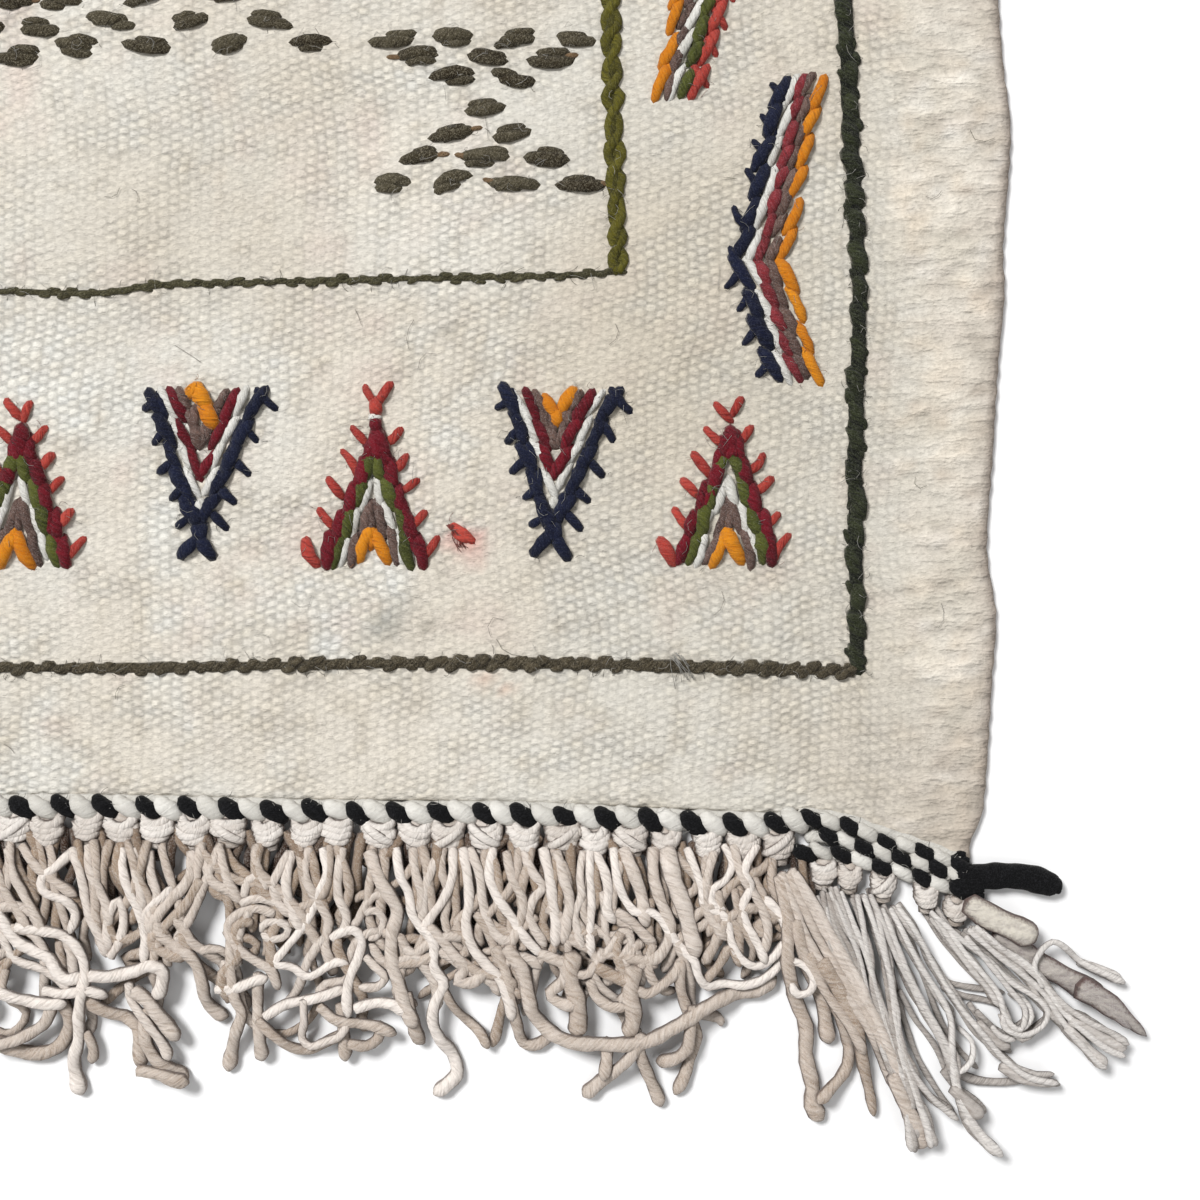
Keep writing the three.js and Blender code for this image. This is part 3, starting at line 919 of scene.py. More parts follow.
def twined_stitch(yarns, random, x, y, size, slot, level):
    """One stitch of the twining: a fat arch of yarn that slants down to the right, thin where it dips."""
    reach, half = size
    t = np.linspace(-1, 1, 9)
    arch = np.cos(t * math.pi / 2)
    slant = math.radians(STITCH_SLANT + random.normal(0, 6))
    run = way_at(slant)
    middle = np.array([x, y + 0.5]) + random.normal(0, 0.3, 2)
    flat = middle + t[:, None] * reach * random.uniform(0.93, 1.08) * run
    flat = flat + (0.3 * np.sin(math.pi * t))[:, None] * left_of(run)
    height = level - STITCH_SINK[slot] + STITCH_RISE * arch**0.7 + 1.1 * np.maximum(-t, 0)
    thick = half * random.uniform(0.9, 1.1) * (0.6 + 0.4 * arch**0.6)
    tone = random.uniform(0.3, 0.9)
    route = np.column_stack([flat, height])
    yarns.add(route, thick, sides=10, flat=0.9, ply=7, swell=0.05, tone=tone, slot=slot)
    top = level + 0.7 + half * 0.8
    if slot == BLACK:
        fuzz(yarns, random, flat, half, top - 0.6, top - 1.8, BLACK, 3, 2.6)
        for _ in range(3):
            root = middle + random.normal(0, 1.5, 2)
            hair(yarns, random, root, random.uniform(0, 6), random.uniform(2, 4), top, top - 0.5, WHITE)


def twined_row(yarns, random, row, start, end, black_places, sizes):
    """Black and white stitches by turns along a row, over a white core."""
    middles = [(a + b) / 2 for a, b in zip(black_places, black_places[1:])]
    level = EDGE_LEVEL - 0.25 * row
    for places, slot in ((middles, WHITE), (black_places, BLACK)):
        for x in places:
            if start < x < end:
                twined_stitch(yarns, random, x, float(row_y(row, x)), sizes[slot], slot, level)
    x = np.arange(start, end, 3.0)
    core = np.column_stack([x, row_y(row, x), np.full(len(x), 2.5 - 0.1 * row)])
    core[:, 1] += 0.25 * np.sin(x * 1.3)
    yarns.add(core, sizes[WHITE][1] * 0.95, sides=8, flat=0.8, ply=9, tone=0.5, slot=WHITE)
    if row == 0:
        lip_half = LIP_HALF * uneven(random, len(x), 3.0, 5, 0.15)
        # The lip's low tone is painted shade in the gap between the cloth and the row.
        yarns.add(core + LIP_PLACE, lip_half, sides=8, flat=0.9, ply=6, tone=0.35, slot=WHITE)


def twined_rows(yarns):
    """The long row, whose stitches get smaller at the corner, and the two short ones below it there."""
    random = np.random.default_rng(3)
    start = -float(right_side_x(HALF_LENGTH)) + 2
    even = np.arange(FIRST_BLACK - 24 * EVEN_TWIST, EVEN_TWIST_ENDS + 1, EVEN_TWIST)
    corner = np.arange(even[-1], ROWS_END + CORNER_TWIST, CORNER_TWIST)
    twined_row(yarns, random, 0, start, NARROW_BY - 4, list(even) + [corner[1]], EVEN_SIZES)
    twined_row(yarns, random, 0, NARROW_BY - 4, ROWS_END, list(corner), CORNER_SIZES)
    for row, begins, black_at, twist in SHORT_ROWS:
        short = list(np.arange(black_at, ROWS_END + twist, twist))
        twined_row(yarns, random, row, begins, ROWS_END, short, CORNER_SIZES)


# The black yarn bound round the ends of the rows: y, x, half width, and height.
BOUND_ENDS = [
    (-359.6, 281.4, 2.6, 4.6), (-362.6, 282.6, 3.6, 5.4), (-365, 283.4, 4.4, 6.2), (-368.5, 284.6, 4.3, 6.6),
    (-372.3, 286.2, 3.2, 5.4), (-375.6, 287.4, 1.9, 3.8),
]
TAIL = [(283, -366), (290, -365.6), (296, -365.4), (302.7, -366), (308, -367.6), (312, -369.2)]
TAIL_HALF = 3.9
WRAP_HALF = 1.1


def wrapping(yarns, spine, core, pitch, random, slot):
    """A yarn wound closely round a core that lies level."""
    fine = smooth_route(spine, pitch / 12)
    left = sideways(fine)
    angle = 2 * math.pi * np.arange(len(fine)) / 12
    shrink = rounded_end(fine, 1.0, 4.2)
    out = core * shrink * uneven(random, len(fine), 0.15, 2.0, 0.05)
    height = (core + WRAP_HALF) * 0.85 + out * np.sin(angle) * 0.78
    flat = fine + left * (out * np.cos(angle))[:, None]
    route = np.column_stack([flat, height])
    yarns.add(route, WRAP_HALF, sides=6, swell=0.03, ply=5, slot=slot, up=(0.3, 0.2, 1))


def tail_and_bound_ends(yarns):
    """The rows' ends bound together with black yarn, and what is left of it as a wrapped tail."""
    random = np.random.default_rng(5)
    spine = smooth_route(TAIL, 0.9)
    level = np.full(len(spine), TAIL_HALF * 0.82 + 0.2)
    half = rounded_end(spine, TAIL_HALF, 3.6) * uneven(random, len(spine), 0.9, 2.4, 0.035)
    yarns.add(np.column_stack([spine, level]), half, sides=16, flat=0.82, swell=0.03, ply=13, slot=BLACK)
    wrapping(yarns, TAIL, TAIL_HALF - 1.15, 1.9, random, BLACK)
    turn = 2 * math.pi * np.arange(18) / 18
    rows = np.array(BOUND_ENDS)
    for y in np.arange(-359.2, -376, -1.5):
        x, half_width, height = (float(through([(-r[0], r[k]) for r in rows], -y)) for k in (1, 2, 3))
        tilt = random.uniform(-0.35, 0.1)
        across = (half_width - WRAP_HALF + 0.4) * random.uniform(0.92, 1.08)
        loop = np.stack(
            [
                x + across * np.cos(turn),
                y + tilt * half_width * np.cos(turn) + 0.4 * np.sin(2 * turn),
                height / 2 + 0.2 + (height / 2 - WRAP_HALF + 0.2) * np.sin(turn),
            ],
            -1,
        )
        yarns.add(loop, WRAP_HALF + 0.15, sides=6, ply=5, swell=0.04, slot=BLACK, up=(0, 1, 0), closed=True)


def twined_edges():
    yarns = Yarns()
    twined_rows(yarns)
    tail_and_bound_ends(yarns)
    for end, turned in (("near", False), ("far", True)):
        edge = yarns.piece(f"twining_{end}", [black_wool, white_wool], turned)
        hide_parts(f"twined_edge_{end}")


# Fringe

# The grid of the pile, the step along a yarn, and its length from one kink to the next.
CELL = 0.8
LAY_STEP = 0.9
BEND_LENGTH = 9.5
YARN_HALF = 1.6
# Up to the first level a pile is loose. Beyond it the pile is pressed, and never gets past the second.
FIRM_LEVEL = 4.2
DEEPEST_LEVEL = 8.6
# A yarn comes up from its knot to the pile over this length.
CLIMB_LENGTH = 9
# How many wandering paths a yarn is chosen from, and what counts against a path: each millimetre over the
# pile's limit, the openings, the part past the fringe's reach, and the part that climbs back.
PATHS_TRIED = 26
PILE_LIMIT = 6
OVER_LIMIT_COST = 3
OPENING_COST = 14
PAST_REACH_COST = 0.5
CLIMBING_COST = 0.25


class Pile:
    """How high the yarns laid so far reach, on a fine grid over one end of the rug."""

    def __init__(self, low, high):
        self.low = np.array(low, float)
        self.size = np.ceil((np.array(high) - self.low) / CELL).astype(int)
        self.top = np.zeros(self.size)

    def cells(self, path, half):
        """The cells under a yarn at each point, and how high its round top stands over its middle there."""
        reach = int(half / CELL + 0.99)
        span = np.arange(-reach, reach + 1)
        near = np.stack(np.meshgrid(span, span, indexing="ij"), -1).reshape(-1, 2)
        away = np.sum((near * CELL) ** 2, -1)
        near, away = near[away < half**2], away[away < half**2]
        cells = np.round((path - self.low) / CELL).astype(int)[..., None, :] + near
        cells = np.clip(cells, 0, self.size - 1)
        return cells[..., 0], cells[..., 1], np.sqrt(half**2 - away)

    def rest(self, path, half):
        """The height of the middle of a yarn on what lies under each point. A deep pile is pressed flat."""
        row, column, dome = self.cells(path, half)
        free = (self.top[row, column] + dome).max(-1)
        room = DEEPEST_LEVEL - FIRM_LEVEL
        pressed = FIRM_LEVEL + room * (1 - np.exp(-np.maximum(free - FIRM_LEVEL, 0) / room))
        return np.where(free < FIRM_LEVEL, free, pressed)

    def cover(self, path, level, half, rounding=0.85):
        row, column, dome = self.cells(path, half)
        np.maximum.at(self.top, (row, column), level[:, None] + dome * rounding)


def drape(contact, bend):
    """A springy yarn over its supports: round over each, and smooth in between."""
    at = np.arange(len(contact)) * LAY_STEP
    humps = contact[None, :] - (at[:, None] - at[None, :]) ** 2 / (2 * bend)
    level = humps.max(1)
    for _ in range(3):
        level = np.convolve(np.pad(level, 1, mode="edge"), (0.25, 0.5, 0.25), mode="valid")
    return level


def lay(pile, yarns, path, half, bend, tone, slot, start_level=None, every=3, **shape):
    """Put a yarn on the pile along a flat path, and into the mesh. Its end is rounded and a little
    swollen. start_level is the level at which it leaves its knot."""
    count = len(path)
    half = np.broadcast_to(np.asarray(half, float), (count,))
    contact = pile.rest(path, half.mean())
    if start_level is not None:
        climbed = smoothstep(np.arange(count) * LAY_STEP / CLIMB_LENGTH)
        contact = between(np.minimum(start_level, contact), contact, climbed)
    level = drape(contact, bend)
    pile.cover(path[4:], level[4:], half.mean())
    kept = np.unique(np.append(np.arange(0, count - 4, every), np.arange(count - 4, count)))
    left = np.linalg.norm(path - path[-1], axis=1)
    thick = rounded_end(path, half, 2.6) * (1 + 0.12 * np.exp(-(((left - 3.5) / 2.5) ** 2)))
    thick = thick * (1 + 0.06 * np.sin(0.5 * np.arange(count) + 40 * tone))
    yarns.add(np.column_stack([path, level])[kept], thick[kept], tone=tone, slot=slot, **shape)


def wandering(random, root, heading, length, curl, count):
    """Paths that leave a knot nearly straight and then kink this way and that."""
    s = np.arange(int(length / LAY_STEP)) * LAY_STEP
    at = s[None, :] / BEND_LENGTH + random.uniform(0, 1, (count, 1))
    aims = random.normal(0, 1, (count, int(length / BEND_LENGTH) + 3))
    aims[:, 1::2] *= 1.25
    i = at.astype(int)
    t = smoothstep((at - i) * 1.15)
    k = np.arange(count)[:, None]
    kink = between(aims[k, i], aims[k, i + 1], t)
    loosened = smoothstep(s / 34)
    turn = heading * np.exp(-s / 26) + curl * between(0.16, 1, loosened) * kink
    moves = np.stack([np.sin(turn), -np.cos(turn)], -1) * LAY_STEP
    return np.array(root) + np.cumsum(moves, 1) - moves[:, :1]


# Open places in the fringe where the floor shows: x, y, half width and half height.
OPENINGS = [
    (57, -384, 6, 14), (50, -400, 7, 9), (1, -396, 6, 6), (28, -413, 6, 4), (70, -392, 3, 3),
    (92, -410, 5, 4), (120, -397, 2.5, 3), (136, -404, 7, 8), (158, -402, 4, 8), (174, -406, 4, 5),
    (192, -404, 5, 4), (58, -412, 4, 12), (85, -424, 9, 6), (108, -424, 8, 6), (222, -412, 6, 12),
    (243, -421, 4, 5), (-52, -402, 7, 9), (-118, -398, 6, 8), (-176, -404, 8, 10), (-234, -396, 6, 9),
    (-90, -416, 9, 7),
]
# How far down the mass of the fringe reaches, by x, and how far its lowest strands do.
REACH = [
    (-292, -412), (-250, -418), (-210, -410), (-150, -420), (-100, -409), (-40, -419), (0, -412),
    (60, -416), (120, -408), (150, -418), (205, -410), (250, -424),
]
UNDER_REACH = [
    (-12, -395), (20, -396), (44, -384), (60, -369), (66, -386), (100, -402), (120, -392), (150, -384),
    (235, -392),
]


def laid_route(pile, random, root, heading, length, curl, half, reach):
    """The best of many wandering paths: low in the pile, off the openings and within the fringe."""
    paths = wandering(random, root, heading, length, curl, PATHS_TRIED)
    height = pile.rest(paths, half)
    cost = height.mean(1) + OVER_LIMIT_COST * np.maximum(height - PILE_LIMIT, 0).mean(1)
    for x, y, wide, tall in OPENINGS:
        inside = ((paths[..., 0] - x) / wide) ** 2 + ((paths[..., 1] - y) / tall) ** 2 < 1
        cost = cost + OPENING_COST * inside.mean(1)
    past = np.maximum(np.interp(paths[..., 0], *zip(*reach)) - paths[..., 1], 0)
    s = np.arange(paths.shape[1]) * LAY_STEP
    climbed = np.maximum(paths[..., 1] - (root[1] - 0.35 * np.minimum(s, 45)), 0)
    cost = cost + PAST_REACH_COST * past.mean(1) + CLIMBING_COST * climbed.mean(1)
    return paths[np.argmin(cost)]


FRINGE, KNOT, CORD, LOCK = range(4)
# A knot: width, length, height, turns of yarn and their half thickness.
EVEN_KNOT = (11.2, 9.6, 6.8, 4, 1.6)
CORNER_KNOT = (8.8, 8.0, 6.2, 4, 1.35)
LOOP_POINTS = 14
STRAP_CHANCE = 0.25


def tie_knot(pile, yarns, random, x, y, size, slot):
    """A bundle tied round itself: thin turns of yarn that sag like a smile and cross each other a little."""
    wide, tall, height, turns, half = size
    angle = 2 * math.pi * np.arange(LOOP_POINTS) / LOOP_POINTS
    lean = random.normal(0, 0.12)
    bow = random.uniform(1.4, 3.2)
    tone = random.uniform(0.55, 1.0)
    wide, tall = wide * random.uniform(0.9, 1.1), tall * random.uniform(0.92, 1.1)
    x, y = x + random.normal(0, 0.4), y + 2.2 + random.normal(0, 0.4)
    over = np.maximum(np.sin(angle), 0)
    for turn in range(turns):
        share = (turn + 0.5) / turns * 2 - 1
        fill = math.sqrt(1 - 0.5 * (share + 0.2) ** 2) * random.uniform(0.93, 1.05)
        across = (wide / 2 - half) * fill * np.cos(angle)
        sag = bow * (over - 0.45) * (1 - 0.3 * share)
        own_lean = lean + (-1) ** turn * random.uniform(0, 0.14)
        loop_y = y - share * (tall / 2 - half) + own_lean * across * over - sag
        own = half * random.uniform(0.92, 1.1)
        up = np.maximum(height / 2 + (height / 2 - half) * fill * np.sin(angle), own)
        loop = np.stack([x + across + random.normal(0, 0.3), loop_y, up], -1)
        shade = tone + random.uniform(-0.15, 0.15)
        yarns.add(loop, own, sides=6, ply=4.5, swell=0.1, tone=shade, slot=slot, up=(0, 1, 0), closed=True)
    if random.uniform() < STRAP_CHANCE:
        way = random.choice([-1, 1])
        t = np.linspace(-1, 1, 7)
        arch = np.cos(t * math.pi / 2) ** 0.6
        strap_y = y + way * t * tall * 0.34 - 0.9 * arch + random.normal(0, 0.5)
        strap = np.stack([x + t * wide * 0.4, strap_y, height * (0.35 + 0.58 * arch)], -1)
        yarns.add(strap, half * 0.9, sides=8, ply=4.5, tone=tone + 0.1, slot=slot)
    # A core under the turns, in a lower tone than them: painted shade inside the knot.
    downward = ((tall / 2 - 0.6, 2.6), (tall / 4, 2.8), (-tall / 4, 2.8), (-tall / 2 - 1, 2.5))
    core = [(x, y + up, level) for up, level in downward]
    yarns.add(core, wide * 0.32, sides=8, flat=0.6, tone=tone - 0.4, slot=slot)
    pile.cover(np.array([[x, y]]), np.zeros(1), wide / 2 - 0.5, 0.9)


# Yarns of the near fringe that can be followed one by one. Each row is the half thickness at the knot and at
# the tip, the paleness, and the places the yarn passes: x, and how far below the line at TYPED_FROM. The
# lowest yarns come first.
TYPED_FROM = -300
# Paleness is lowest in LOW_YARNS and highest in TOP_YARNS: painted shade that deepens down the pile, besides
# each yarn's own tone.
LOW_YARNS = [
    (1.7, 1.9, 0.2, (55, 66), (50, 74), (44, 80), (40, 84), (45, 88), (51, 89)),
    (1.9, 2.0, 0.42, (41, 74), (43, 82), (48, 86), (53, 90), (55, 96), (56, 103), (59, 107), (62, 108)),
    (2.2, 2.3, 0.3, (11, 100), (15, 108), (12, 116), (6, 119), (-1, 118), (-8, 114)),
    (1.9, 1.9, 0.45, (11, 102), (8, 109), (2, 113), (-4, 115), (-10, 115)),
    (2.0, 2.1, 0.3, (20, 102), (26, 106), (32, 108), (35.5, 111), (36, 117), (36.5, 123)),
    (1.9, 2.4, 0.4, (38, 105), (38, 112), (40, 118), (44, 123), (50, 126.5)),
    (1.9, 2.3, 0.35, (36, 123), (42, 124), (47, 126), (51, 127)),
    (1.5, 1.7, 0.35, (20, 112), (22, 117), (21, 122)),
    (1.7, 2.1, 0.42, (64, 82), (64, 92), (65, 101), (67, 106), (65, 112), (63, 119), (62, 124.5)),
    (1.8, 2.1, 0.45, (72, 94), (71.5, 102), (72, 111), (72.5, 121)),
    (1.6, 1.7, 0.3, (72, 108), (77, 113), (82, 117), (87, 118), (92, 115.5), (98, 113)),
    (1.8, 2.0, 0.35, (96, 104), (97, 111), (97.5, 116), (97.5, 121)),
    (1.7, 1.8, 0.3, (99, 115), (104, 116), (107.5, 114), (108, 109)),
    (1.7, 1.8, 0.4, (90, 104), (95, 108), (101, 109), (107, 110), (113, 112.5)),
    (2.0, 2.0, 0.35, (116, 100), (118, 108), (119, 113), (121, 116)),
    (1.6, 1.6, 0.35, (110, 91), (116, 91), (121, 90), (126, 88)),
    (1.4, 1.7, 0.3, (127, 98), (130, 104), (134, 109), (138, 112.5), (140.5, 117)),
    (1.8, 1.8, 0.35, (143, 86), (146, 94), (147.5, 102), (149, 109), (151, 116), (155, 116.5), (160, 113)),
    (3.0, 2.8, 0.32, (166, 88), (165, 95), (167, 102), (167.5, 108), (167, 113)),
    (1.9, 1.9, 0.45, (156, 88), (163, 91), (163, 96), (159, 100), (163, 103), (168, 103)),
    (3.0, 2.4, 0.35, (184, 92), (183, 100), (184, 107), (182, 113)),
    (1.8, 1.7, 0.4, (171, 96), (173, 101), (178, 104), (183, 103)),
    (2.1, 2.0, 0.15, (173, 92), (179, 95), (185, 97)),
    (1.8, 1.9, 0.3, (198, 90), (198, 98), (200, 105), (203, 113), (201, 121), (199, 127), (196.5, 131.5)),
    (1.9, 2.1, 0.35, (202, 104), (201, 111), (200, 117), (196, 120.5), (191, 121.5)),
    (1.6, 1.6, 0.2, (206, 96), (210, 91), (213, 86), (216, 92)),
    (1.9, 2.0, 0.35, (186, 112), (186, 118), (188, 124), (190.5, 130), (192.5, 135)),
    (1.9, 2.4, 0.45, (186, 114), (183, 119), (178, 124), (173, 128.5), (169, 132)),
    (2.0, 1.8, 0.35, (176, 114), (176, 120), (175, 126)),
    (2.2, 2.6, 0.32, (228, 66), (230, 78), (230, 91), (233, 103), (236, 111), (236, 120), (238, 129),
     (238, 135), (241, 139)),
    (2.2, 2.4, 0.3, (232, 78), (236, 92), (241, 103), (242, 111), (243, 116)),
    (2.0, 1.8, 0.28, (236, 88), (243, 101), (247, 110), (249, 118), (248, 124), (243, 129), (239, 133)),
    (2.6, 1.2, 0.18, (240, 90), (247, 102), (251, 112), (253, 122), (255, 130), (256.5, 138)),
]
MIDDLE_YARNS = [
    (1.6, 1.5, 0.5, (-3, 57), (-1, 64), (2, 70), (6, 77), (8, 83)),
    (1.6, 1.5, 0.4, (1, 56), (6, 62), (11, 66), (18, 71)),
    (1.6, 1.5, 0.45, (-6, 63), (-3, 70), (1, 76), (4, 82)),
    (1.6, 1.5, 0.65, (16, 57), (19, 64), (20.5, 71), (22, 77), (25, 83), (27, 89)),
    (1.6, 1.6, 0.55, (21, 56), (22, 63), (25, 69), (27, 74), (28, 80)),
    (1.5, 1.4, 0.7, (28, 89), (31, 84), (32, 77), (30.5, 72), (28, 76), (27, 82), (28, 87)),
    (1.6, 1.5, 0.6, (35, 57), (35.5, 63), (37, 69), (38, 75)),
    (1.6, 1.6, 0.55, (39, 58), (40, 65), (42, 71), (40, 77), (41, 83)),
    (1.9, 1.8, 0.5, (52, 58), (52, 64), (50, 68), (46, 72), (42, 77), (39, 82)),
    (1.7, 1.6, 0.5, (56, 59), (58, 66), (64, 69.5), (68, 72)),
    (1.7, 1.6, 0.5, (60, 57), (62, 63), (64, 68), (67, 73)),
    (1.6, 1.6, 0.5, (77, 76), (71, 74.5), (65, 77), (63, 81), (66, 86), (71, 90), (76, 93), (78, 99)),
    (1.4, 1.4, 0.6, (68, 71), (69, 66.5), (71.5, 65), (74, 66.5), (74, 70)),
    (1.5, 1.5, 0.6, (81, 58), (78.5, 63), (76.5, 68), (79, 73)),
    (1.7, 1.6, 0.7, (82, 58), (80.5, 65), (81, 71), (83, 77), (86, 82)),
    (1.5, 1.4, 0.6, (67, 73), (72, 71.5), (78, 73), (82, 77)),
    (1.3, 1.3, 0.7, (73, 81.5), (74, 79), (78, 78.5), (81, 80), (80, 83), (76, 83.5), (73, 82)),
    (1.6, 1.6, 0.5, (87, 57), (86, 64), (89, 71), (93, 78), (92, 85), (94, 92)),
    (1.6, 1.5, 0.6, (97, 57), (96, 64), (96, 71), (98.5, 77), (97, 83)),
    (2.2, 2.3, 0.5, (105, 58), (109, 67), (113.5, 75), (112, 82), (112, 90), (114, 97), (116, 104),
     (119, 110)),
    (1.4, 1.4, 0.6, (104, 89), (107, 92), (110, 95), (107.5, 98), (102, 98)),
    (1.3, 1.3, 0.6, (104, 76), (107, 75), (109.5, 78), (108, 82), (105, 84)),
    (1.6, 1.5, 0.6, (126, 58), (123, 65), (121.5, 72), (121, 79)),
    (1.6, 1.5, 0.5, (118, 57), (119, 64), (121, 70), (120, 76)),
    (1.8, 2.0, 0.5, (123, 80), (127, 84), (131, 89), (134, 92), (131.5, 96), (136, 96.5), (140, 93)),
    (1.6, 1.5, 0.6, (135, 57), (138, 64), (139, 72), (141, 79), (145, 84), (149, 83)),
    (1.6, 1.6, 0.45, (146, 58), (148, 66), (151, 72), (150, 79), (147, 86)),
    (1.6, 1.5, 0.6, (151, 58), (154, 64), (157, 68), (154, 72), (153, 77), (155, 81.5), (158, 86)),
    (1.8, 1.8, 0.55, (161, 58), (163, 65), (165, 72), (164, 79), (163, 85)),
    (1.4, 1.4, 0.65, (169, 58), (168, 65), (168.5, 71), (166.5, 76), (167.5, 82), (169, 87)),
    (2.2, 1.9, 0.55, (181, 57), (184, 64), (186.5, 71), (187, 76), (188, 80)),
    (1.4, 1.3, 0.5, (174, 90), (177.5, 85.5), (181, 81), (183.5, 84), (181, 89), (183, 93), (186, 92),
     (188.5, 88)),
    (1.5, 1.5, 0.45, (162, 89), (166, 93.5), (170.5, 94), (173, 90)),
    (1.7, 1.7, 0.4, (180, 102), (184, 98.5), (188, 100), (193, 97), (197, 93), (198, 89)),
    (2.0, 1.8, 0.5, (190, 57), (190, 65), (192, 72), (195, 80), (193, 87), (188, 91)),
    (3.0, 2.4, 0.6, (194, 57), (196, 66), (199, 74), (201, 82), (203, 89)),
    (1.6, 1.6, 0.5, (208, 58), (206, 65), (205, 73), (208, 79), (212, 84)),
    (1.6, 1.6, 0.5, (214, 56), (216, 64), (221, 72), (224, 80), (223, 88)),
    (2.3, 2.3, 0.42, (146, 86), (151, 93), (152.5, 100), (154, 106), (159, 111.5), (166, 114.5),
     (174, 115), (182, 115), (190, 113.5), (198, 109), (206, 104), (214, 101), (221, 100), (227, 96)),
    (1.6, 1.6, 0.38, (227, 65), (229, 74), (234, 86), (241, 99), (248, 109), (253, 118)),
    (1.6, 1.6, 0.5, (228, 64), (231, 72), (236, 84), (243, 95), (250, 104), (255, 112), (259, 121),
     (263, 130)),
    (1.6, 1.5, 0.42, (230, 64), (234, 73), (240, 85), (247, 96), (253, 105), (258, 115), (262, 125)),
    (1.6, 1.8, 0.55, (231, 63), (236, 72), (242, 83), (249, 95), (255, 105), (260, 116), (264, 127),
     (268, 138)),
    (1.5, 1.4, 0.62, (232, 64), (238, 73), (244, 84), (250, 94), (254, 102)),
    (2.2, 3.0, 0.45, (261, 124), (265, 133), (269, 141), (271, 147)),
]
TOP_YARNS = [
    (1.9, 2.0, 0.9, (-8, 73), (-4, 78), (0, 84), (5, 87), (10, 89.5), (12.5, 94), (16, 96), (19.5, 94)),
    (1.7, 1.7, 0.85, (0, 80), (6, 81), (12, 82), (17, 85), (20, 90), (20.5, 96), (18, 101)),
    (1.9, 1.9, 0.9, (-9, 96), (-4, 100), (2, 102), (8, 103), (15, 103)),
    (1.7, 1.7, 0.85, (8, 99), (14, 100), (21, 99), (27, 101)),
    (1.6, 1.5, 0.8, (16, 58), (12, 62), (7.5, 66), (9, 70), (14.5, 72), (17.5, 76), (16, 82)),
    (1.8, 2.4, 0.85, (20, 98), (18.5, 106), (18, 114), (16, 121), (16.5, 127), (18, 131.5)),
    (2.1, 2.1, 0.85, (22, 94.5), (28, 95), (35, 93.5), (40, 91.5), (43.5, 93), (43, 98), (41, 102)),
    (1.6, 1.5, 0.85, (31, 57), (32, 64), (34, 70), (37, 76), (38.5, 83), (38, 91)),
    (1.4, 1.5, 0.8, (37.5, 78), (40.5, 73.5), (44, 71), (46.5, 68)),
    (1.5, 1.7, 0.65, (33.5, 97), (34, 102), (37, 106), (40, 110), (43, 114.5), (45.5, 120)),
    (2.2, 2.4, 0.5, (35, 99), (39, 102), (42, 106), (45, 110), (48, 114)),
    (1.7, 1.8, 0.9, (59.5, 98.5), (65, 98.5), (70, 96.5), (75, 95)),
    (1.4, 1.4, 0.95, (91, 57), (92.5, 64), (90, 70), (88, 76), (84, 82), (79, 88), (77, 91), (82, 92),
     (87, 95), (91, 93), (95, 90.5), (99, 91)),
    (1.7, 1.7, 0.9, (74, 107), (79, 104), (85, 102.5), (91, 101), (98, 98.5)),
    (1.3, 1.4, 0.7, (85.5, 102), (85.5, 109), (84.5, 114), (87.5, 116.5), (92, 114.5), (96, 113), (99, 109)),
    (1.6, 1.7, 0.9, (94, 83.5), (97, 81.5), (101, 81), (103, 84), (102, 89), (99.5, 95), (98.5, 101),
     (99, 107)),
    (1.8, 1.8, 0.95, (101, 104.5), (106, 103), (112, 103), (117, 106)),
    (1.6, 1.5, 0.9, (113, 57), (114.5, 65), (117, 70), (118, 76), (121, 80.5), (125, 83)),
    (1.6, 1.5, 0.8, (130, 57), (130, 65), (127.5, 71.5), (124, 76.5), (121, 81)),
    (1.7, 2.3, 0.9, (121, 80), (124.5, 85), (124.5, 92), (127.5, 97), (125, 102), (124, 108), (126, 114),
     (129.5, 119), (131, 125), (128, 128.5), (124, 131.5)),
    (1.7, 1.8, 0.8, (133, 57), (134.5, 65), (135, 73), (134, 79), (136, 86), (140, 91), (144, 95),
     (146.5, 101), (148, 108)),
    (1.7, 1.6, 0.9, (142, 57), (141, 65), (144, 72), (148, 77.5), (151.5, 83), (156.5, 88.5)),
    (1.8, 1.8, 0.8, (157, 57), (159, 65), (160, 73), (161, 80), (160.5, 86)),
    (1.4, 1.4, 0.9, (171, 56), (171, 64), (171.5, 73), (171, 82), (171.5, 89)),
    (1.7, 1.6, 0.85, (172, 57), (175.5, 64), (176.5, 70), (176, 75), (178.5, 79)),
    (1.5, 1.5, 1.0, (178, 57), (179, 65), (181, 71), (184.5, 75.5), (189, 75.5), (192.5, 78), (195, 82),
     (199, 87), (202, 90), (203.5, 95), (206, 98), (211, 97.5), (217, 98), (223, 96), (228, 91), (230, 84),
     (228, 77), (223, 71)),
    (1.4, 1.4, 0.95, (200, 57), (202.5, 63), (204.5, 69), (205, 74), (209, 75.5), (212, 78), (213, 84),
     (216, 89.5), (221, 92), (226, 89), (229, 84)),
    (1.3, 1.3, 0.9, (211, 56), (213.5, 61), (211.5, 66), (207.5, 69), (207.5, 73), (211.5, 75)),
    (1.5, 1.5, 0.9, (221, 56), (217, 63), (219, 68), (216.5, 73.5), (218, 80), (221, 85), (223.5, 91)),
    (1.3, 1.3, 1.0, (230, 90), (234, 91), (237.5, 95), (236.5, 99.5), (232.5, 100), (231, 96.5)),
]
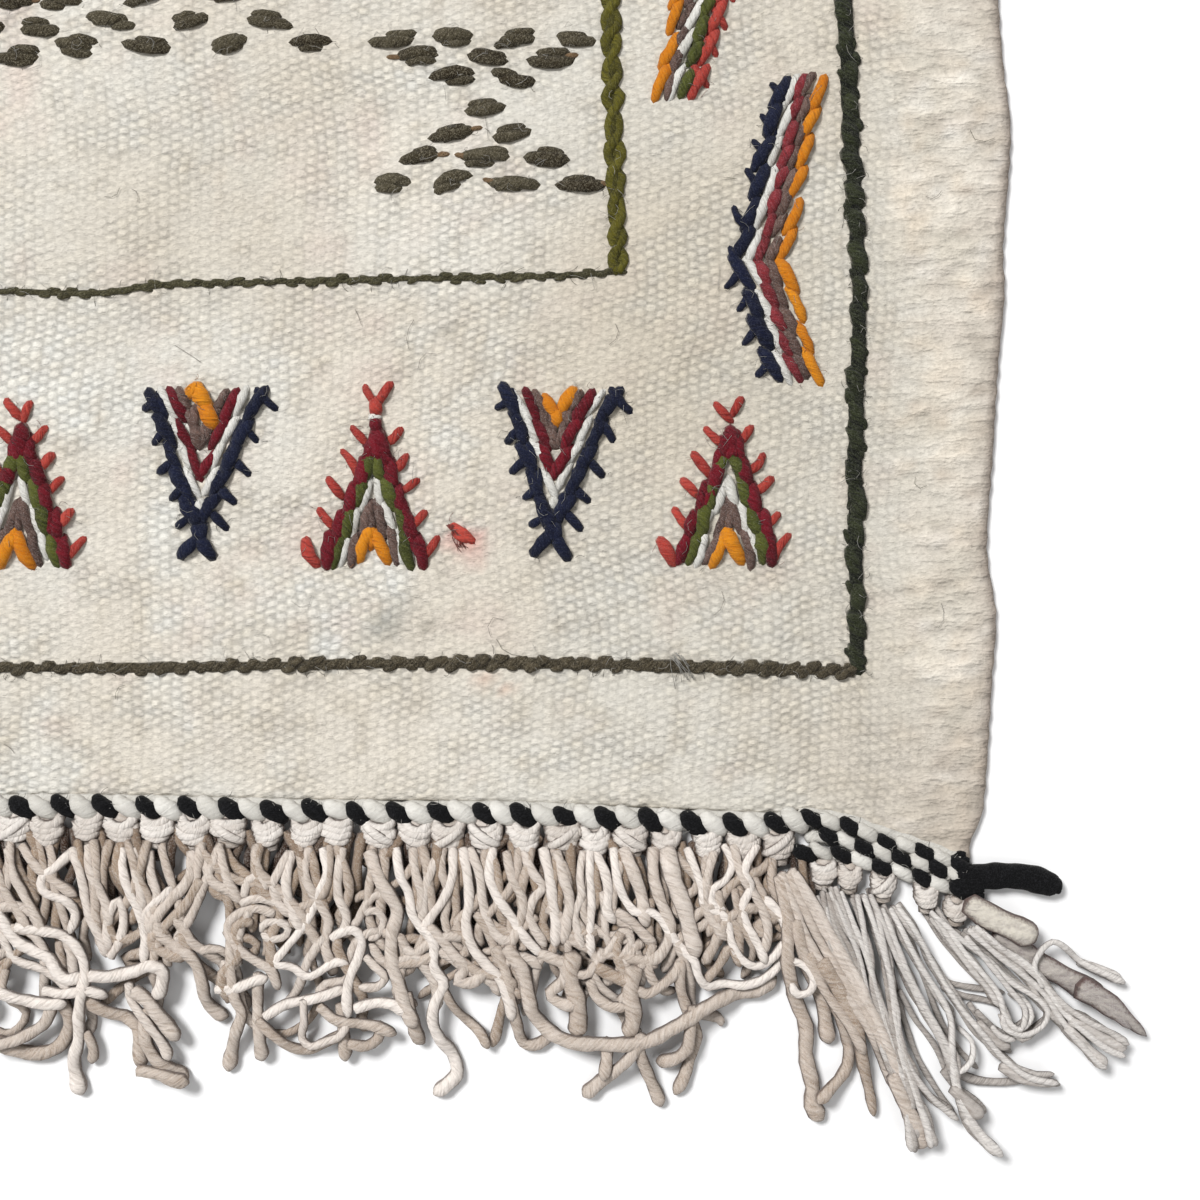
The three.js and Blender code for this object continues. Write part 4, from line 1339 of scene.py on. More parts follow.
# The plied yarns of the pulled-out corner.
# Paleness is lower in LOW_CORDS than in TOP_CORDS: painted shade under the top cords.
LOW_CORDS = [
    (1.2, 1.2, 0.4, (241, 69), (244, 80), (249, 91), (254, 102), (258, 114), (262, 126)),
    (1.2, 1.3, 0.45, (250, 71), (253, 82), (256, 94), (259, 106), (262, 118), (266, 130), (269, 143)),
    (1.2, 1.2, 0.4, (257, 75), (260, 87), (263, 99), (266, 110), (270, 121), (276, 131), (281, 138)),
    (1.2, 1.2, 0.35, (262, 75), (268, 86), (272, 97), (276, 108), (282, 118), (288, 124)),
    (1.2, 1.1, 0.35, (276, 97), (283, 99), (290, 100), (296, 101)),
    (1.2, 1.1, 0.35, (277, 99), (284, 102), (291, 103.5), (297, 106)),
    (1.2, 1.1, 0.4, (272, 77), (278, 86), (285, 94), (291, 100), (296, 105)),
    (1.2, 1.2, 0.4, (264, 100), (269, 109), (275, 117), (279, 126), (284, 133), (288, 138)),
    (1.3, 1.5, 0.4, (285, 104), (290, 111), (294, 116), (298, 119)),
    (1.3, 1.4, 0.4, (287, 106), (293, 112), (299, 115)),
    (1.2, 1.2, 0.5, (284, 82), (293, 91), (302, 100), (310, 108), (318, 116), (324, 122)),
    (1.4, 2.2, 0.35, (277, 124), (281, 129), (286, 133), (290, 137)),
    (1.8, 0.7, 0.4, (278, 123), (286, 127), (294, 128), (302, 127.5), (312, 127.5)),
]
TOP_CORDS = [
    (1.15, 1.2, 0.75, (240.5, 70), (242, 78), (245, 86), (249, 94), (253, 102), (256, 111), (260, 121),
     (264, 131)),
    (1.15, 1.1, 0.7, (243, 70), (247, 79), (250.5, 87), (252.5, 94), (254, 102), (257, 111)),
    (1.15, 1.2, 0.8, (246, 70), (250, 80), (253.5, 89), (256, 98), (258.5, 108), (262, 118), (265, 128)),
    (1.15, 1.7, 0.7, (251, 71), (252.5, 80), (254, 89), (256, 98), (259, 108), (262, 118), (264.5, 129),
     (266, 140), (267, 147)),
    (1.15, 1.7, 0.8, (253, 71), (256, 80), (259, 89), (261, 98), (262, 108), (263.5, 118), (267, 128),
     (271, 138), (273, 146)),
    (1.15, 1.2, 0.65, (255, 71), (258.5, 79), (262, 88), (266, 96), (270, 104), (275, 113), (279, 122)),
    (1.15, 1.3, 0.7, (256.5, 75), (258.5, 85), (260.5, 95), (262.5, 105), (263.5, 114), (267, 123),
     (273, 131), (281, 138)),
    (1.15, 1.4, 0.75, (258.5, 75), (262, 84), (266, 94), (270.5, 103), (275, 111), (279, 119), (281, 129),
     (284, 138), (291, 147)),
    (1.15, 1.7, 0.85, (261, 75), (265.5, 84), (270, 92.5), (275, 100), (278.5, 107), (279, 116),
     (279.5, 125), (282, 133), (287, 141), (294, 148.5)),
    (1.15, 1.3, 0.85, (263, 74), (268.5, 82), (273, 90), (277.5, 98), (283, 106), (289, 113), (295, 120),
     (302, 125), (311, 127)),
    (1.15, 1.1, 0.7, (274, 77), (279, 85), (285, 93), (290, 99), (293, 104)),
    (1.1, 1.1, 0.9, (276, 78), (283, 88), (289, 95), (293, 100.5), (295, 107), (299, 111), (303, 107.5),
     (301.5, 103), (298, 102)),
    (1.1, 1.1, 0.85, (273, 76), (282, 84), (291, 91), (297, 97), (303, 100.5), (307.5, 105), (306, 110),
     (300.5, 112.5), (295, 110.5), (294, 106)),
    (1.15, 1.3, 0.8, (284, 81), (292, 88), (299, 93.5), (306, 99.5), (311, 107), (316, 113.5), (321, 119),
     (325, 122.5)),
    (1.15, 1.3, 0.9, (286, 80), (294, 86.5), (301, 91), (306.5, 97), (311, 104), (318, 111), (326, 117),
     (331, 119)),
    (1.15, 1.3, 0.7, (288, 82), (297, 89), (305, 95.5), (312, 103), (319, 108), (327, 112), (332, 115.5)),
    (1.15, 1.5, 0.85, (306, 98), (303.5, 92), (305.5, 87), (309, 84.5), (313, 86.5), (318, 91),
     (325, 94.5), (331.5, 97.5)),
    (1.1, 1.2, 1.0, (282, 111.5), (285.5, 115), (285, 120), (281, 124)),
    (1.1, 1.2, 0.75, (291, 110), (294, 113), (298, 114)),
    (1.1, 1.2, 0.8, (283, 83), (290, 91), (296, 98.5), (301, 105), (300, 111)),
]
# Thick soft lengths of unspun wool that leave the bound ends, and the felted tips of the cords.
LOOSE_WOOL = [
    (3.2, 3.6, 0.4, (293, 82.5), (299.5, 87), (306, 91.5), (313, 95.5), (319, 99), (325, 102.5)),
    (3.7, 0.5, 0.35, (317, 98), (324, 102), (330.5, 107), (338, 113.5)),
    (1.7, 0.5, 0.2, (325, 103), (329, 107.5), (332.5, 110.5)),
    (3.8, 3.9, 0.9, (284, 73), (289, 76.5), (294.5, 79), (300, 81.5), (303.5, 84.5)),
]
FELTED_TIPS = [
    (1.6, 2.3, 0.55, (314, 108), (320, 111), (326, 114.5), (331.5, 117)),
    (1.5, 2.2, 0.6, (313, 110), (318, 115), (322, 119), (325, 122)),
    (1.4, 2.0, 0.75, (318, 91.5), (324, 94), (331, 97)),
    (1.3, 1.9, 0.7, (283, 137), (288, 143), (293, 148)),
    (1.8, 0.8, 0.45, (294, 122), (301, 126), (311, 127.5)),
    (1.8, 2.4, 0.35, (279, 128), (284, 133), (288, 137)),
    (1.5, 2.2, 0.4, (287, 109), (292, 114), (297, 117)),
]


# Where the even fringe begins and ends, where the listed part begins, and the pulled-out corner.
FRINGE_FROM = -285
FOLLOWED_FROM = -9
FRINGE_BY = 222
CORNER_FROM = 227
# Yarns that begin above these heights come straight out of a knot.
EVEN_KNOTS_ABOVE = -360
CORNER_KNOTS_ABOVE = -380
KNOT_LEVEL = 2.6
# Lengths and tones of random strands: long ones, short ones under the listed yarns, and the lowest.
# Tones run from the lowest layer to the top one, lower ones darker as painted shade.
LONG = ((55, 84), (0.1, 0.8))
SHORT = ((26, 50), (0.05, 0.35))
LOWEST_SHADED = ((12, 38), (-1.1, -0.3))
SOFT_YARN = dict(sides=7, flat=0.95, ply=11, swell=0.05)
PLIED_CORD = dict(sides=6, flat=0.97, ply=4.6, swell=0.06)
FELTED_LOCK = dict(sides=12, flat=0.75, ply=40, swell=0.05)
FELTED_TIP = dict(sides=10, flat=0.75, ply=24, swell=0.05)


def loose_ends(pile, yarns, random, count, low, high):
    """Lengths that lie this way and that in the middle of the mass."""
    for _ in range(count):
        root = (random.uniform(low, high), random.uniform(-393, -368))
        half = YARN_HALF * random.uniform(0.8, 1.1)
        path = laid_route(pile, random, root, random.normal(0, 1.1), random.uniform(16, 38), 1.3, half, REACH)
        lay(pile, yarns, path, half, 12, random.uniform(0.1, 0.6), FRINGE, sides=6, flat=0.95)


def follow(pile, yarns, rows, slot, bend, random=None, thin=1.0, **shape):
    """Lay yarns along their typed places. With random the places are moved a little, for a copy."""
    for first_half, last_half, tone, *places in rows:
        places = (0, TYPED_FROM) + np.array(places, float) * (1, -1)
        if random is not None:
            places = places + random.normal(0, 0.9, places.shape)
        path = smooth_route(places, LAY_STEP)
        half = thin * between(first_half, last_half, np.linspace(0, 1, len(path)) ** 2)
        tied_above = CORNER_KNOTS_ABOVE if slot == CORD else EVEN_KNOTS_ABOVE
        from_knot = KNOT_LEVEL if places[0, 1] > tied_above else None
        lay(pile, yarns, path, half, bend, tone, slot, from_knot, **shape)


def random_strands(pile, yarns, random, knots, layers, reach, kind, thick=1.0, sides=6):
    """A few wandering yarns from every knot, the lowest of each first."""
    lengths, tones = kind
    for layer in range(layers):
        share = layer / max(layers - 1, 1)
        for i in random.permutation(len(knots)):
            x, y = knots[i]
            root = (x + random.uniform(-3, 3), y - 2.2)
            half = YARN_HALF * thick * random.uniform(0.86, 1.14)
            curl = random.choice([0.4, 0.8, 1.1, 1.45], p=[0.15, 0.3, 0.3, 0.25])
            heading, length = random.normal(0, 0.34), random.uniform(*lengths)
            path = laid_route(pile, random, root, heading, length, curl, half, reach)
            # Lower layers take lower tones: painted shade, darker the deeper a strand lies.
            tone = between(*tones, share) + random.uniform(-0.12, 0.12)
            lay(pile, yarns, path, half, 12, tone, FRINGE, 2.0 + 0.3 * layer, sides=sides, flat=0.95)


def begins_at(row):
    """The x at which a typed yarn leaves its knot."""
    return row[3][0]


def corner_strands(pile, yarns, random=None):
    """The yarns and cords of the pulled-out corner, with two copies of the cords underneath, dimmed as
    painted shade.
    """
    corner = [row for row in LOW_YARNS + MIDDLE_YARNS if begins_at(row) >= CORNER_FROM]
    follow(pile, yarns, corner, FRINGE, 14, random, **SOFT_YARN)
    follow(pile, yarns, LOOSE_WOOL, LOCK, 30, random, **FELTED_LOCK)
    follow(pile, yarns, LOW_CORDS, CORD, 16, random, thin=0.82, **PLIED_CORD)
    # The copies underneath are dimmed: painted shade below the top cords.
    for painted_shade, copy in ((0.45, 7), (0.3, 8)):
        under = [(first, last, tone - painted_shade, *places) for first, last, tone, *places in TOP_CORDS[:16]]
        follow(pile, yarns, under, CORD, 16, np.random.default_rng(copy), thin=0.82, **PLIED_CORD)
    follow(pile, yarns, FELTED_TIPS, CORD, 20, random, **FELTED_TIP)
    follow(pile, yarns, TOP_CORDS, CORD, 16, random, thin=0.84, every=2, **PLIED_CORD)


def shaded_roots():
    """Between the knots, where the lowest strands lie in deep shade."""
    return [(x + KNOT_PITCH / 2, y + 3.5) for x, y in even_knots()]


def knotted_fringe(seed, followed):
    """followed tells whether the right half is laid from the listed places, or at random."""
    random = np.random.default_rng(seed)
    yarns = Yarns()
    pile = Pile((-330, -465), (360, -340))
    for x, y in even_knots():
        tie_knot(pile, yarns, random, x, y, EVEN_KNOT, KNOT)
    for x, y in corner_knots():
        tie_knot(pile, yarns, random, x, y, CORNER_KNOT, KNOT)
    random_strands(pile, yarns, random, shaded_roots(), 3, UNDER_REACH, LOWEST_SHADED, 0.95, 5)
    if followed:
        left = [knot for knot in even_knots() if knot[0] < FOLLOWED_FROM]
        right = [knot for knot in even_knots() if knot[0] >= FOLLOWED_FROM]
        random_strands(pile, yarns, random, right, 3, UNDER_REACH, SHORT)
        loose_ends(pile, yarns, random, 55, FOLLOWED_FROM + 1, FRINGE_BY)
        random_strands(pile, yarns, random, left, 5, REACH, LONG)
        loose_ends(pile, yarns, random, 40, FRINGE_FROM, FOLLOWED_FROM - 3)
        for rows in (LOW_YARNS, MIDDLE_YARNS, TOP_YARNS):
            even = [row for row in rows if begins_at(row) < CORNER_FROM]
            follow(pile, yarns, even, FRINGE, 13, every=2, **SOFT_YARN)
        corner_strands(pile, yarns)
        curl = [row for row in TOP_YARNS if begins_at(row) >= CORNER_FROM]
        follow(pile, yarns, curl, FRINGE, 13, every=2, **SOFT_YARN)
    else:
        random_strands(pile, yarns, random, even_knots(), 5, REACH, LONG)
        loose_ends(pile, yarns, random, 80, FRINGE_FROM, FRINGE_BY)
        corner_strands(pile, yarns, random)
    return yarns


FRINGE_WOOLS = [fringe_wool, knot_wool, cord_wool, lock_wool]


def fringes():
    for end, turned, seed in (("near", False, 21), ("far", True, 22)):
        fringe = knotted_fringe(seed, not turned).piece(f"fringe_{end}", FRINGE_WOOLS, turned)
        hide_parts(f"knotted_fringe_{end}")


# Borders

BORDER_STEP = 1.5
# The lower line by x and the right line by y, of the outer and the inner border.
OUTER_BOTTOM = [
    (-252, -303), (-200, -302.4), (-140, -301.8), (-60, -302.6), (24, -303), (84, -302.1), (144, -301.5),
    (204, -302.7), (252.5, -304.2),
]
OUTER_RIGHT = [
    (-304, 251.2), (-240, 250.4), (-200, 251.5), (-160, 250.2), (-100, 247.2), (0, 248.5), (304, 250.6),
]
INNER_BOTTOM = [
    (-176, -186), (-100, -188.5), (-6, -189.9), (24, -190.5), (42, -188.1), (63, -187.5), (114, -186.3),
    (138, -186), (162, -185.4), (183, -183.6),
]
INNER_RIGHT = [(-184, 179.6), (-102, 177.2), (0, 178.4), (110, 177.2), (190, 178.6)]
OUTER_WOOL, OUTER_LINE_WOOL, INNER_WOOL, INNER_LINE_WOOL, PALE_HAIR = range(5)


def border_path(rows, level_line, turned, step):
    """Points along one side of a border. turned gives the side across from it."""
    at = np.arange(rows[0][0], rows[-1][0], step)
    off = through(rows, at)
    path = np.stack([at, off] if level_line else [off, at], -1)
    return -path if turned else path


def line_hairs(yarns, random, path, out, slot, length, between_hairs):
    """Dark and pale loose fibres along a line."""
    top = float(cloth_top(path[:, 0], path[:, 1]).mean())
    fuzz(yarns, random, path, out, top + 0.8, top, slot, int(length / between_hairs), 2.6)
    fuzz(yarns, random, path, 0.6, top + 2.4, top + 1.6, PALE_HAIR, int(length / 14), 4.5)


def beaded_line(yarns, random, rows, slot, spread, half, turned):
    """Two dark wefts of the plain weave, close together. Each shows as a row of fat beads."""
    path = border_path(rows, True, turned, WEAVE_COLUMN)
    along = path[:, 0] * (-1 if turned else 1)
    grown = (0.82 + 0.22 * smoothstep((along + 120) / 300)) * uneven(random, len(path), WEAVE_COLUMN, 14, 0.1)
    level = cloth_top(path[:, 0], path[:, 1])
    core = half * 1.1 * grown * uneven(random, len(path), WEAVE_COLUMN, 5, 0.15)
    yarns.add(np.column_stack([path, level]), core, sides=8, flat=0.75, ply=8, tone=0.4, slot=slot)
    for i, (middle, size) in enumerate(zip(path, grown)):
        drop = spread / 2 * size * (-1) ** i
        at = middle + (random.normal(0, 0.35), drop + random.normal(0, 0.25))
        reach = np.array([random.uniform(1.9, 2.6), random.normal(0.2, 0.4)])
        own = half * size * random.uniform(0.75, 1.15)
        rise = random.uniform(0.25, 0.6)
        looks = dict(rise=rise, hairs=0.5, pale=PALE_HAIR, steps=6)
        stitch(yarns, random, at - reach, at + reach, own, slot, **looks)
    line_hairs(yarns, random, path, half * 1.5, slot, len(path) * WEAVE_COLUMN, 4)


LUMP_PITCH = 9.2


def lumpy_line(yarns, random, rows, slot, turned):
    """Fat felted floats over a core, each lapping the next at a slant, with small stitches at their sides."""
    path = border_path(rows, False, turned, LUMP_PITCH / 4)
    level = cloth_top(path[:, 0], path[:, 1]) + 0.1
    core = 2.4 * uneven(random, len(path), LUMP_PITCH / 4, 3, 0.1)
    yarns.add(np.column_stack([path, level]), core, sides=6, flat=0.7, ply=8, tone=0.2, slot=slot)
    for middle in path[2::4]:
        at = middle + random.normal(0, 0.4, 2)
        reach = np.array([random.normal(-1.3, 0.5), random.uniform(4.6, 6.2)])
        own = random.uniform(2.2, 2.9)
        bow = random.normal(0, 0.05)
        stitch(yarns, random, at - reach, at + reach, own, slot, bow=bow, rise=0.3, hairs=1.5, pale=PALE_HAIR)
        for side in random.choice([-1, 1], random.integers(1, 3)):
            off = at + (side * random.uniform(1.3, 2.1), random.uniform(-4.5, 4.5))
            small = np.array([random.normal(-0.7, 0.6), random.uniform(1.8, 2.8)])
            own = random.uniform(1.1, 1.5)
            stitch(yarns, random, off - small, off + small, own, slot, rise=0.4, hairs=0.5, steps=5)
    line_hairs(yarns, random, path, 2.2, slot, len(path) * LUMP_PITCH / 4, 5)


# The yarns of the braided line: how far ahead in the twist, how far out they sway, half thickness and tone.
BRAID = [(0, 1.7, 1.75, 0.6), (0.5, 1.7, 1.75, 0.4), (0.25, 0.6, 1.3, 0.1)]
BRAID_TWIST = 15.6


def braided_line(yarns, random, rows, slot, turned):
    """Two yarns that cross and part again down the line, over a third that wanders between them."""
    path = border_path(rows, False, turned, BORDER_STEP)
    count = len(path)
    grown = uneven(random, count, BORDER_STEP, 9, 0.16)
    turns = np.arange(count) * BORDER_STEP / BRAID_TWIST + np.cumsum(random.normal(0, 0.02, count))
    level = cloth_top(path[:, 0], path[:, 1]) + 0.1
    for ahead, sway, half, tone in BRAID:
        angle = 2 * math.pi * (turns + ahead)
        own = half * uneven(random, count, BORDER_STEP, 2, 0.13)
        flat = path - sideways(path) * (sway * grown * np.sin(angle))[:, None]
        route = np.column_stack([flat, level + 0.35 * np.cos(angle)])
        yarns.add(route, own, sides=6, flat=0.7, ply=8, tone=tone, slot=slot)
    line_hairs(yarns, random, path, 2.0, slot, count * BORDER_STEP, 4)


def borders():
    random = np.random.default_rng(31)
    yarns = Yarns()
    for turned in (False, True):
        beaded_line(yarns, random, OUTER_BOTTOM, OUTER_LINE_WOOL, 2.0, 1.5, turned)
        beaded_line(yarns, random, INNER_BOTTOM, INNER_LINE_WOOL, 1.3, 0.9, turned)
        lumpy_line(yarns, random, OUTER_RIGHT, OUTER_WOOL, turned)
        braided_line(yarns, random, INNER_RIGHT, INNER_WOOL, turned)
    wools = [outer_wool, outer_line_wool, inner_wool, inner_line_wool, white_wool]
    piece = yarns.piece("border_lines", wools)


outer_wool = wool("green black wool", "0a0c07", "31361f", "040502", "6f7262", 0.3, fuzz=0.8, streak=2.4)
outer_line_wool = wool("grey brown wool", "29241a", "554c3b", "151108", "968d79", 0.4, fuzz=0.8, streak=2.2)
inner_wool = wool("moss wool", "34310c", "67611c", "1d1b05", "8a8655", 0.3, fuzz=0.6)
inner_line_wool = wool("grey olive wool", "2b2818", "544f38", "17150b", "908c70", 0.35, fuzz=0.7, streak=2.0)


# Motifs

NAVY, CRIMSON, CORAL, OLIVE, CREAM, BROWN, ORANGE, ROSE = range(8)
motif_wools = [
    wool("navy wool", "06081a", "141a33", "030409", "5a6076", 0.2),
    wool("crimson wool", "3a0309", "74101f", "1c0205", "b0606c", 0.2),
    wool("coral wool", "80201d", "b8483c", "4d100e", "c77c74", 0.25),
    wool("olive wool", "2b2f10", "585d24", "171a06", "8c9068", 0.25),
    # Its rim is painted shade on the sides of the white stitches.
    wool(
        "white stitch wool", "b5b2a9", "e2e0da", "8c867c", "f4f3f0", 0.25,
        twist=0.05, fuzz=0.4, streak=1.4, rim="a29b8f", feather=0.4,
    ),
    wool("brown wool", "3e2e29", "745c53", "221815", "a39690", 0.4),
    wool("orange wool", "b05c08", "d88c1a", "8f4a08", "e2ad5b", 0.2, twist=0.03, fuzz=0.5, streak=0.9),
    wool("rose wool", "55151a", "8e3338", "32090e", "b6757c", 0.3),
]
# The length of a stitch as a share of its part of the line: where it stands alone, and in a row.
LONE_STITCH = 1.1
LAPPED_STITCH = 1.5
BARB_HALF = 1.5


def placing(x, y, turned):
    """Takes a point of a motif, counted from its middle, to its place on the rug."""
    sign = -1 if turned else 1
    return lambda point: np.array([x, y]) + sign * np.asarray(point)


def stitch(
    yarns, random, start, end, half, slot, tone=None, bow=0.0, rise=0.55, hairs=1.1, pale=CREAM, steps=7
):
    """A short length of yarn that comes up out of the cloth at start and goes down again at end. rise is how
    far it stands up, hairs about how many stand off it, and pale the wool of the stray one on top."""
    start, end = np.array(start, float), np.array(end, float)
    t = np.linspace(0, 1, steps)
    arch = np.sin(math.pi * t) ** 0.7
    run = end - start
    flat = start + run * t[:, None] + left_of(run) * (bow * np.sin(math.pi * t))[:, None]
    level = cloth_top(flat[:, 0], flat[:, 1]) + half * between(-0.75, rise, arch)
    thick = half * between(0.55, 1.05, arch) * random.uniform(0.92, 1.08) * random.normal(1, 0.06, steps)
    tone = random.uniform(0.3, 0.7) if tone is None else tone
    yarns.add(np.column_stack([flat, level]), thick, flat=0.8, ply=8, tone=tone, slot=slot)
    if hairs:
        top = float(level.max()) + half * 0.75
        fuzz(yarns, random, flat, half, top - 0.5, top - 1.6, slot, random.poisson(hairs), 2.2)
        if random.uniform() < hairs * 0.3:
            hair(yarns, random, flat[2], random.uniform(0, 6), random.uniform(3, 6), top, top - 0.5, pale)


def stitched_line(yarns, random, place, slot, start, end, count, slant, half):
    """A line of stitches that overlap at their ends, each at a slant to the line."""
    start, end = np.array(start, float), np.array(end, float)
    step = (end - start) / count
    length = np.linalg.norm(step)
    overlap = LONE_STITCH if count == 1 else LAPPED_STITCH
    for i in range(count):
        middle = start + step * (i + 0.5 + random.uniform(-0.12, 0.12)) + random.normal(0, 0.2, 2)
        angle = math.atan2(step[1], step[0]) + math.radians(slant + random.normal(0, 4.5))
        reach = length * overlap / 2 * random.uniform(0.92, 1.08) * way_at(angle)
        own = half * random.uniform(0.9, 1.1)
        bow = random.normal(0, 0.03)
        stitch(yarns, random, place(middle - reach), place(middle + reach), own, slot, bow=bow)


def barbs(yarns, random, place, slot, half, rows):
    """Short stitches from their tips to their roots under the edge of a line."""
    for tip, root in rows:
        tip, root = np.array(tip) + random.normal(0, 0.3, 2), np.array(root)
        root = root + (root - tip) * 0.5
        own = half * random.uniform(0.9, 1.1)
        stitch(yarns, random, place(tip), place(root), own, slot, bow=random.normal(0, 0.05))


# Lines of the two triangles: wool, start, end, count of stitches, slant and half thickness, in the
# triangle's own frame, whose origin is the middle of the band.
POINT_DOWN_LINES = [
    (NAVY, (-13.3, 26.3), (-1.4, -13.6), 5, 8, 2.0),
    (NAVY, (-12.2, 24.3), (0.0, -14.6), 5, -4, 1.7),
    (NAVY, (19.2, 25.2), (2.0, -13.6), 5, -8, 2.0),
    (NAVY, (18.0, 23.2), (0.6, -14.6), 5, 4, 1.7),
    (NAVY, (-0.6, -9.5), (0.6, -19.8), 2, 4, 2.1),
    (NAVY, (2.4, -9.5), (1.2, -19.8), 2, -4, 2.1),
    (NAVY, (0.9, -17.0), (-5.4, -24), 1, 0, 2.1),
    (NAVY, (0.3, -17.0), (5.0, -24.6), 1, 0, 2.3),
    (CREAM, (-10.1, 26), (0.3, -6.6), 4, 8, 1.35),
    (CREAM, (14.6, 25.5), (2, -5), 4, -8, 1.35),
    (CREAM, (1, -6.6), (1.1, -10.5), 1, 0, 1.6),
    (CRIMSON, (-7.2, 26), (0.3, 0), 3, 10, 1.85),
    (CRIMSON, (11.4, 25.4), (1.2, -0.5), 3, -10, 1.85),
    (BROWN, (-4.4, 25.8), (0.6, 9), 3, 5, 1.6),
    (BROWN, (8.7, 25.4), (1.6, 9), 3, -5, 1.6),
    (BROWN, (-0.6, 20), (1.0, 9.5), 2, -5, 1.4),
    (BROWN, (4.6, 20), (1.4, 9.5), 2, 5, 1.4),
    (ORANGE, (-2.7, 26.4), (2.0, 16.8), 1, 0, 2.15),
    (ORANGE, (6.7, 26.0), (1.8, 16.8), 1, 0, 2.15),
    (ORANGE, (1.9, 20.0), (1.8, 14.4), 1, 0, 2.0),
]
# Tip and root of each barb.
POINT_DOWN_BARBS = [
    ((-16.9, 20), (-11.9, 22.5)), ((-13.8, 9.6), (-10.2, 12.7)), ((-12.2, 0.6), (-8.5, 3.5)),
    ((-8.5, -7.2), (-4.6, -3.8)), ((-6.8, -15.3), (-3.5, -13.4)), ((24.6, 18.9), (19.8, 24.3)),
    ((19.3, 9.6), (14.8, 14.7)), ((16.2, -0.2), (12.5, 3.5)), ((12.3, -8.3), (8.1, -4.4)), ((9.8, -17),
    (4.7, -11.7)),
]
# The thick arch of orange that takes the place of the point in some triangles.
ORANGE_ARCH = [
    (ORANGE, (-3.0, 24.2), (1.8, 27.2), 1, 0, 2.3), (ORANGE, (0.2, 27.2), (5.2, 15.5), 2, 4, 2.6),
]
POINT_UP_LINES = [
    (CRIMSON, (0.9, 11.5), (-15.2, -26), 5, 10, 2.1),
    (CRIMSON, (2.2, 11.5), (14.8, -26), 5, -10, 2.1),
    (CRIMSON, (-0.4, 10.0), (-13.4, -24), 5, -3, 1.6),
    (CRIMSON, (2.4, 10.0), (13.0, -24), 5, 3, 1.6),
    (CRIMSON, (1, 15.5), (0.8, 4.5), 1, 2, 2.6),
    (CRIMSON, (-2.6, 11), (3.4, 5), 1, 0, 2.2),
    (CRIMSON, (3.6, 11), (-2.0, 5), 1, 0, 2.2),
    (OLIVE, (-0.2, 7.4), (-12, -25.6), 4, 6, 1.95),
    (OLIVE, (0.4, 7.4), (11.4, -25.6), 4, -6, 1.95),
    (CREAM, (-0.9, -1.2), (-10.3, -25.6), 3, 8, 1.45),
    (CREAM, (-0.4, -1.2), (9, -25), 3, -8, 1.45),
    (BROWN, (-0.3, -8.0), (-7, -25.4), 2, 5, 1.7),
    (BROWN, (0, -8.0), (7, -25.4), 2, -5, 1.7),
    (BROWN, (-0.2, -8.6), (-0.1, -17), 1, 0, 1.5),
    (ORANGE, (0.6, -15.2), (-5, -26.9), 1, 0, 2.1),
    (ORANGE, (-1.6, -15.2), (4.8, -26.9), 1, 0, 2.2),
    (ORANGE, (-0.5, -14.6), (-0.6, -21.5), 1, 0, 1.6),
]
POINT_UP_BARBS = [
    ((-7.2, 15.2), (-3, 10.7)), ((-10.3, 7.9), (-6.4, 1.8)), ((-14, -0.2), (-10.3, -5)),
    ((-16.8, -8.9), (-12.6, -14.5)), ((7.9, 15.2), (4.8, 11.3)), ((10.4, 7.1), (7, 2.9)), ((13.5, -0.5),
    (9.8, -3.8)),
    ((16, -9.7), (12.1, -13.9)), ((19.4, -17.8), (15.4, -23.4)),
]
POINT_UP_HOOK = [((-20.8, -17.6), (-17.4, -24.2))]
HOOK_HALF = 2.1
SMALL_FORK = [
    (CORAL, (-3.9, 22.8), (0.9, 16.5), 1, 0, 1.5), (CORAL, (3.9, 22.8), (0.9, 16.5), 1, 0, 1.5),
]
BIG_FORK = [
    (CORAL, (-2.9, 27.4), (1.2, 20.6), 1, 0, 1.45), (CORAL, (6.2, 28.8), (0.7, 21.2), 1, 0, 1.45),
    (CORAL, (0.8, 23.5), (1.2, 18.0), 1, 0, 2.0), (CREAM, (-0.9, 17.6), (2.5, 17.8), 1, 0, 1.5),
    (CRIMSON, (1.0, 17.4), (1.2, 12.5), 1, 0, 2.1),
]
TRIANGLE_Y = -245.4


def triangle(yarns, random, place, lines, barb_slot, rows):
    barbs(yarns, random, place, barb_slot, BARB_HALF, rows)
    for slot, start, end, count, slant, half in lines:
        stitched_line(yarns, random, place, slot, start, end, count, slant, half)


CHEVRON_HALF = 45.6
CHEVRON_BEND = -9.9
CHEVRON_SLANT = 13
CHEVRON_BARB_HALF = 1.35
# Lines of the chevrons: wool, how far right of the middle line the top, the bend and the bottom of the
# line lie, half thickness, and how many stitches its upper arm has.
NAVY_CHEVRON = [
    (NAVY, 0.9, -12.9, -1.5, 2.1, 6), (CREAM, 4.1, -9.3, 1.2, 1.5, 6), (ROSE, 6.9, -6.3, 4.3, 1.75, 8),
    (BROWN, 9.1, -3.2, 7.0, 1.6, 8), (ORANGE, 11.8, 0.2, 10.2, 1.85, 6),
]
RED_CHEVRON = [
    (CORAL, 0.9, -12.9, -1.5, 1.9, 6), (OLIVE, 4.2, -9.3, 1.7, 1.9, 7), (CREAM, 7.1, -5.9, 4.6, 1.5, 6),
    (BROWN, 9.3, -3.2, 7.2, 1.6, 8), (ORANGE, 12.0, 0.2, 10.3, 1.85, 6),
]
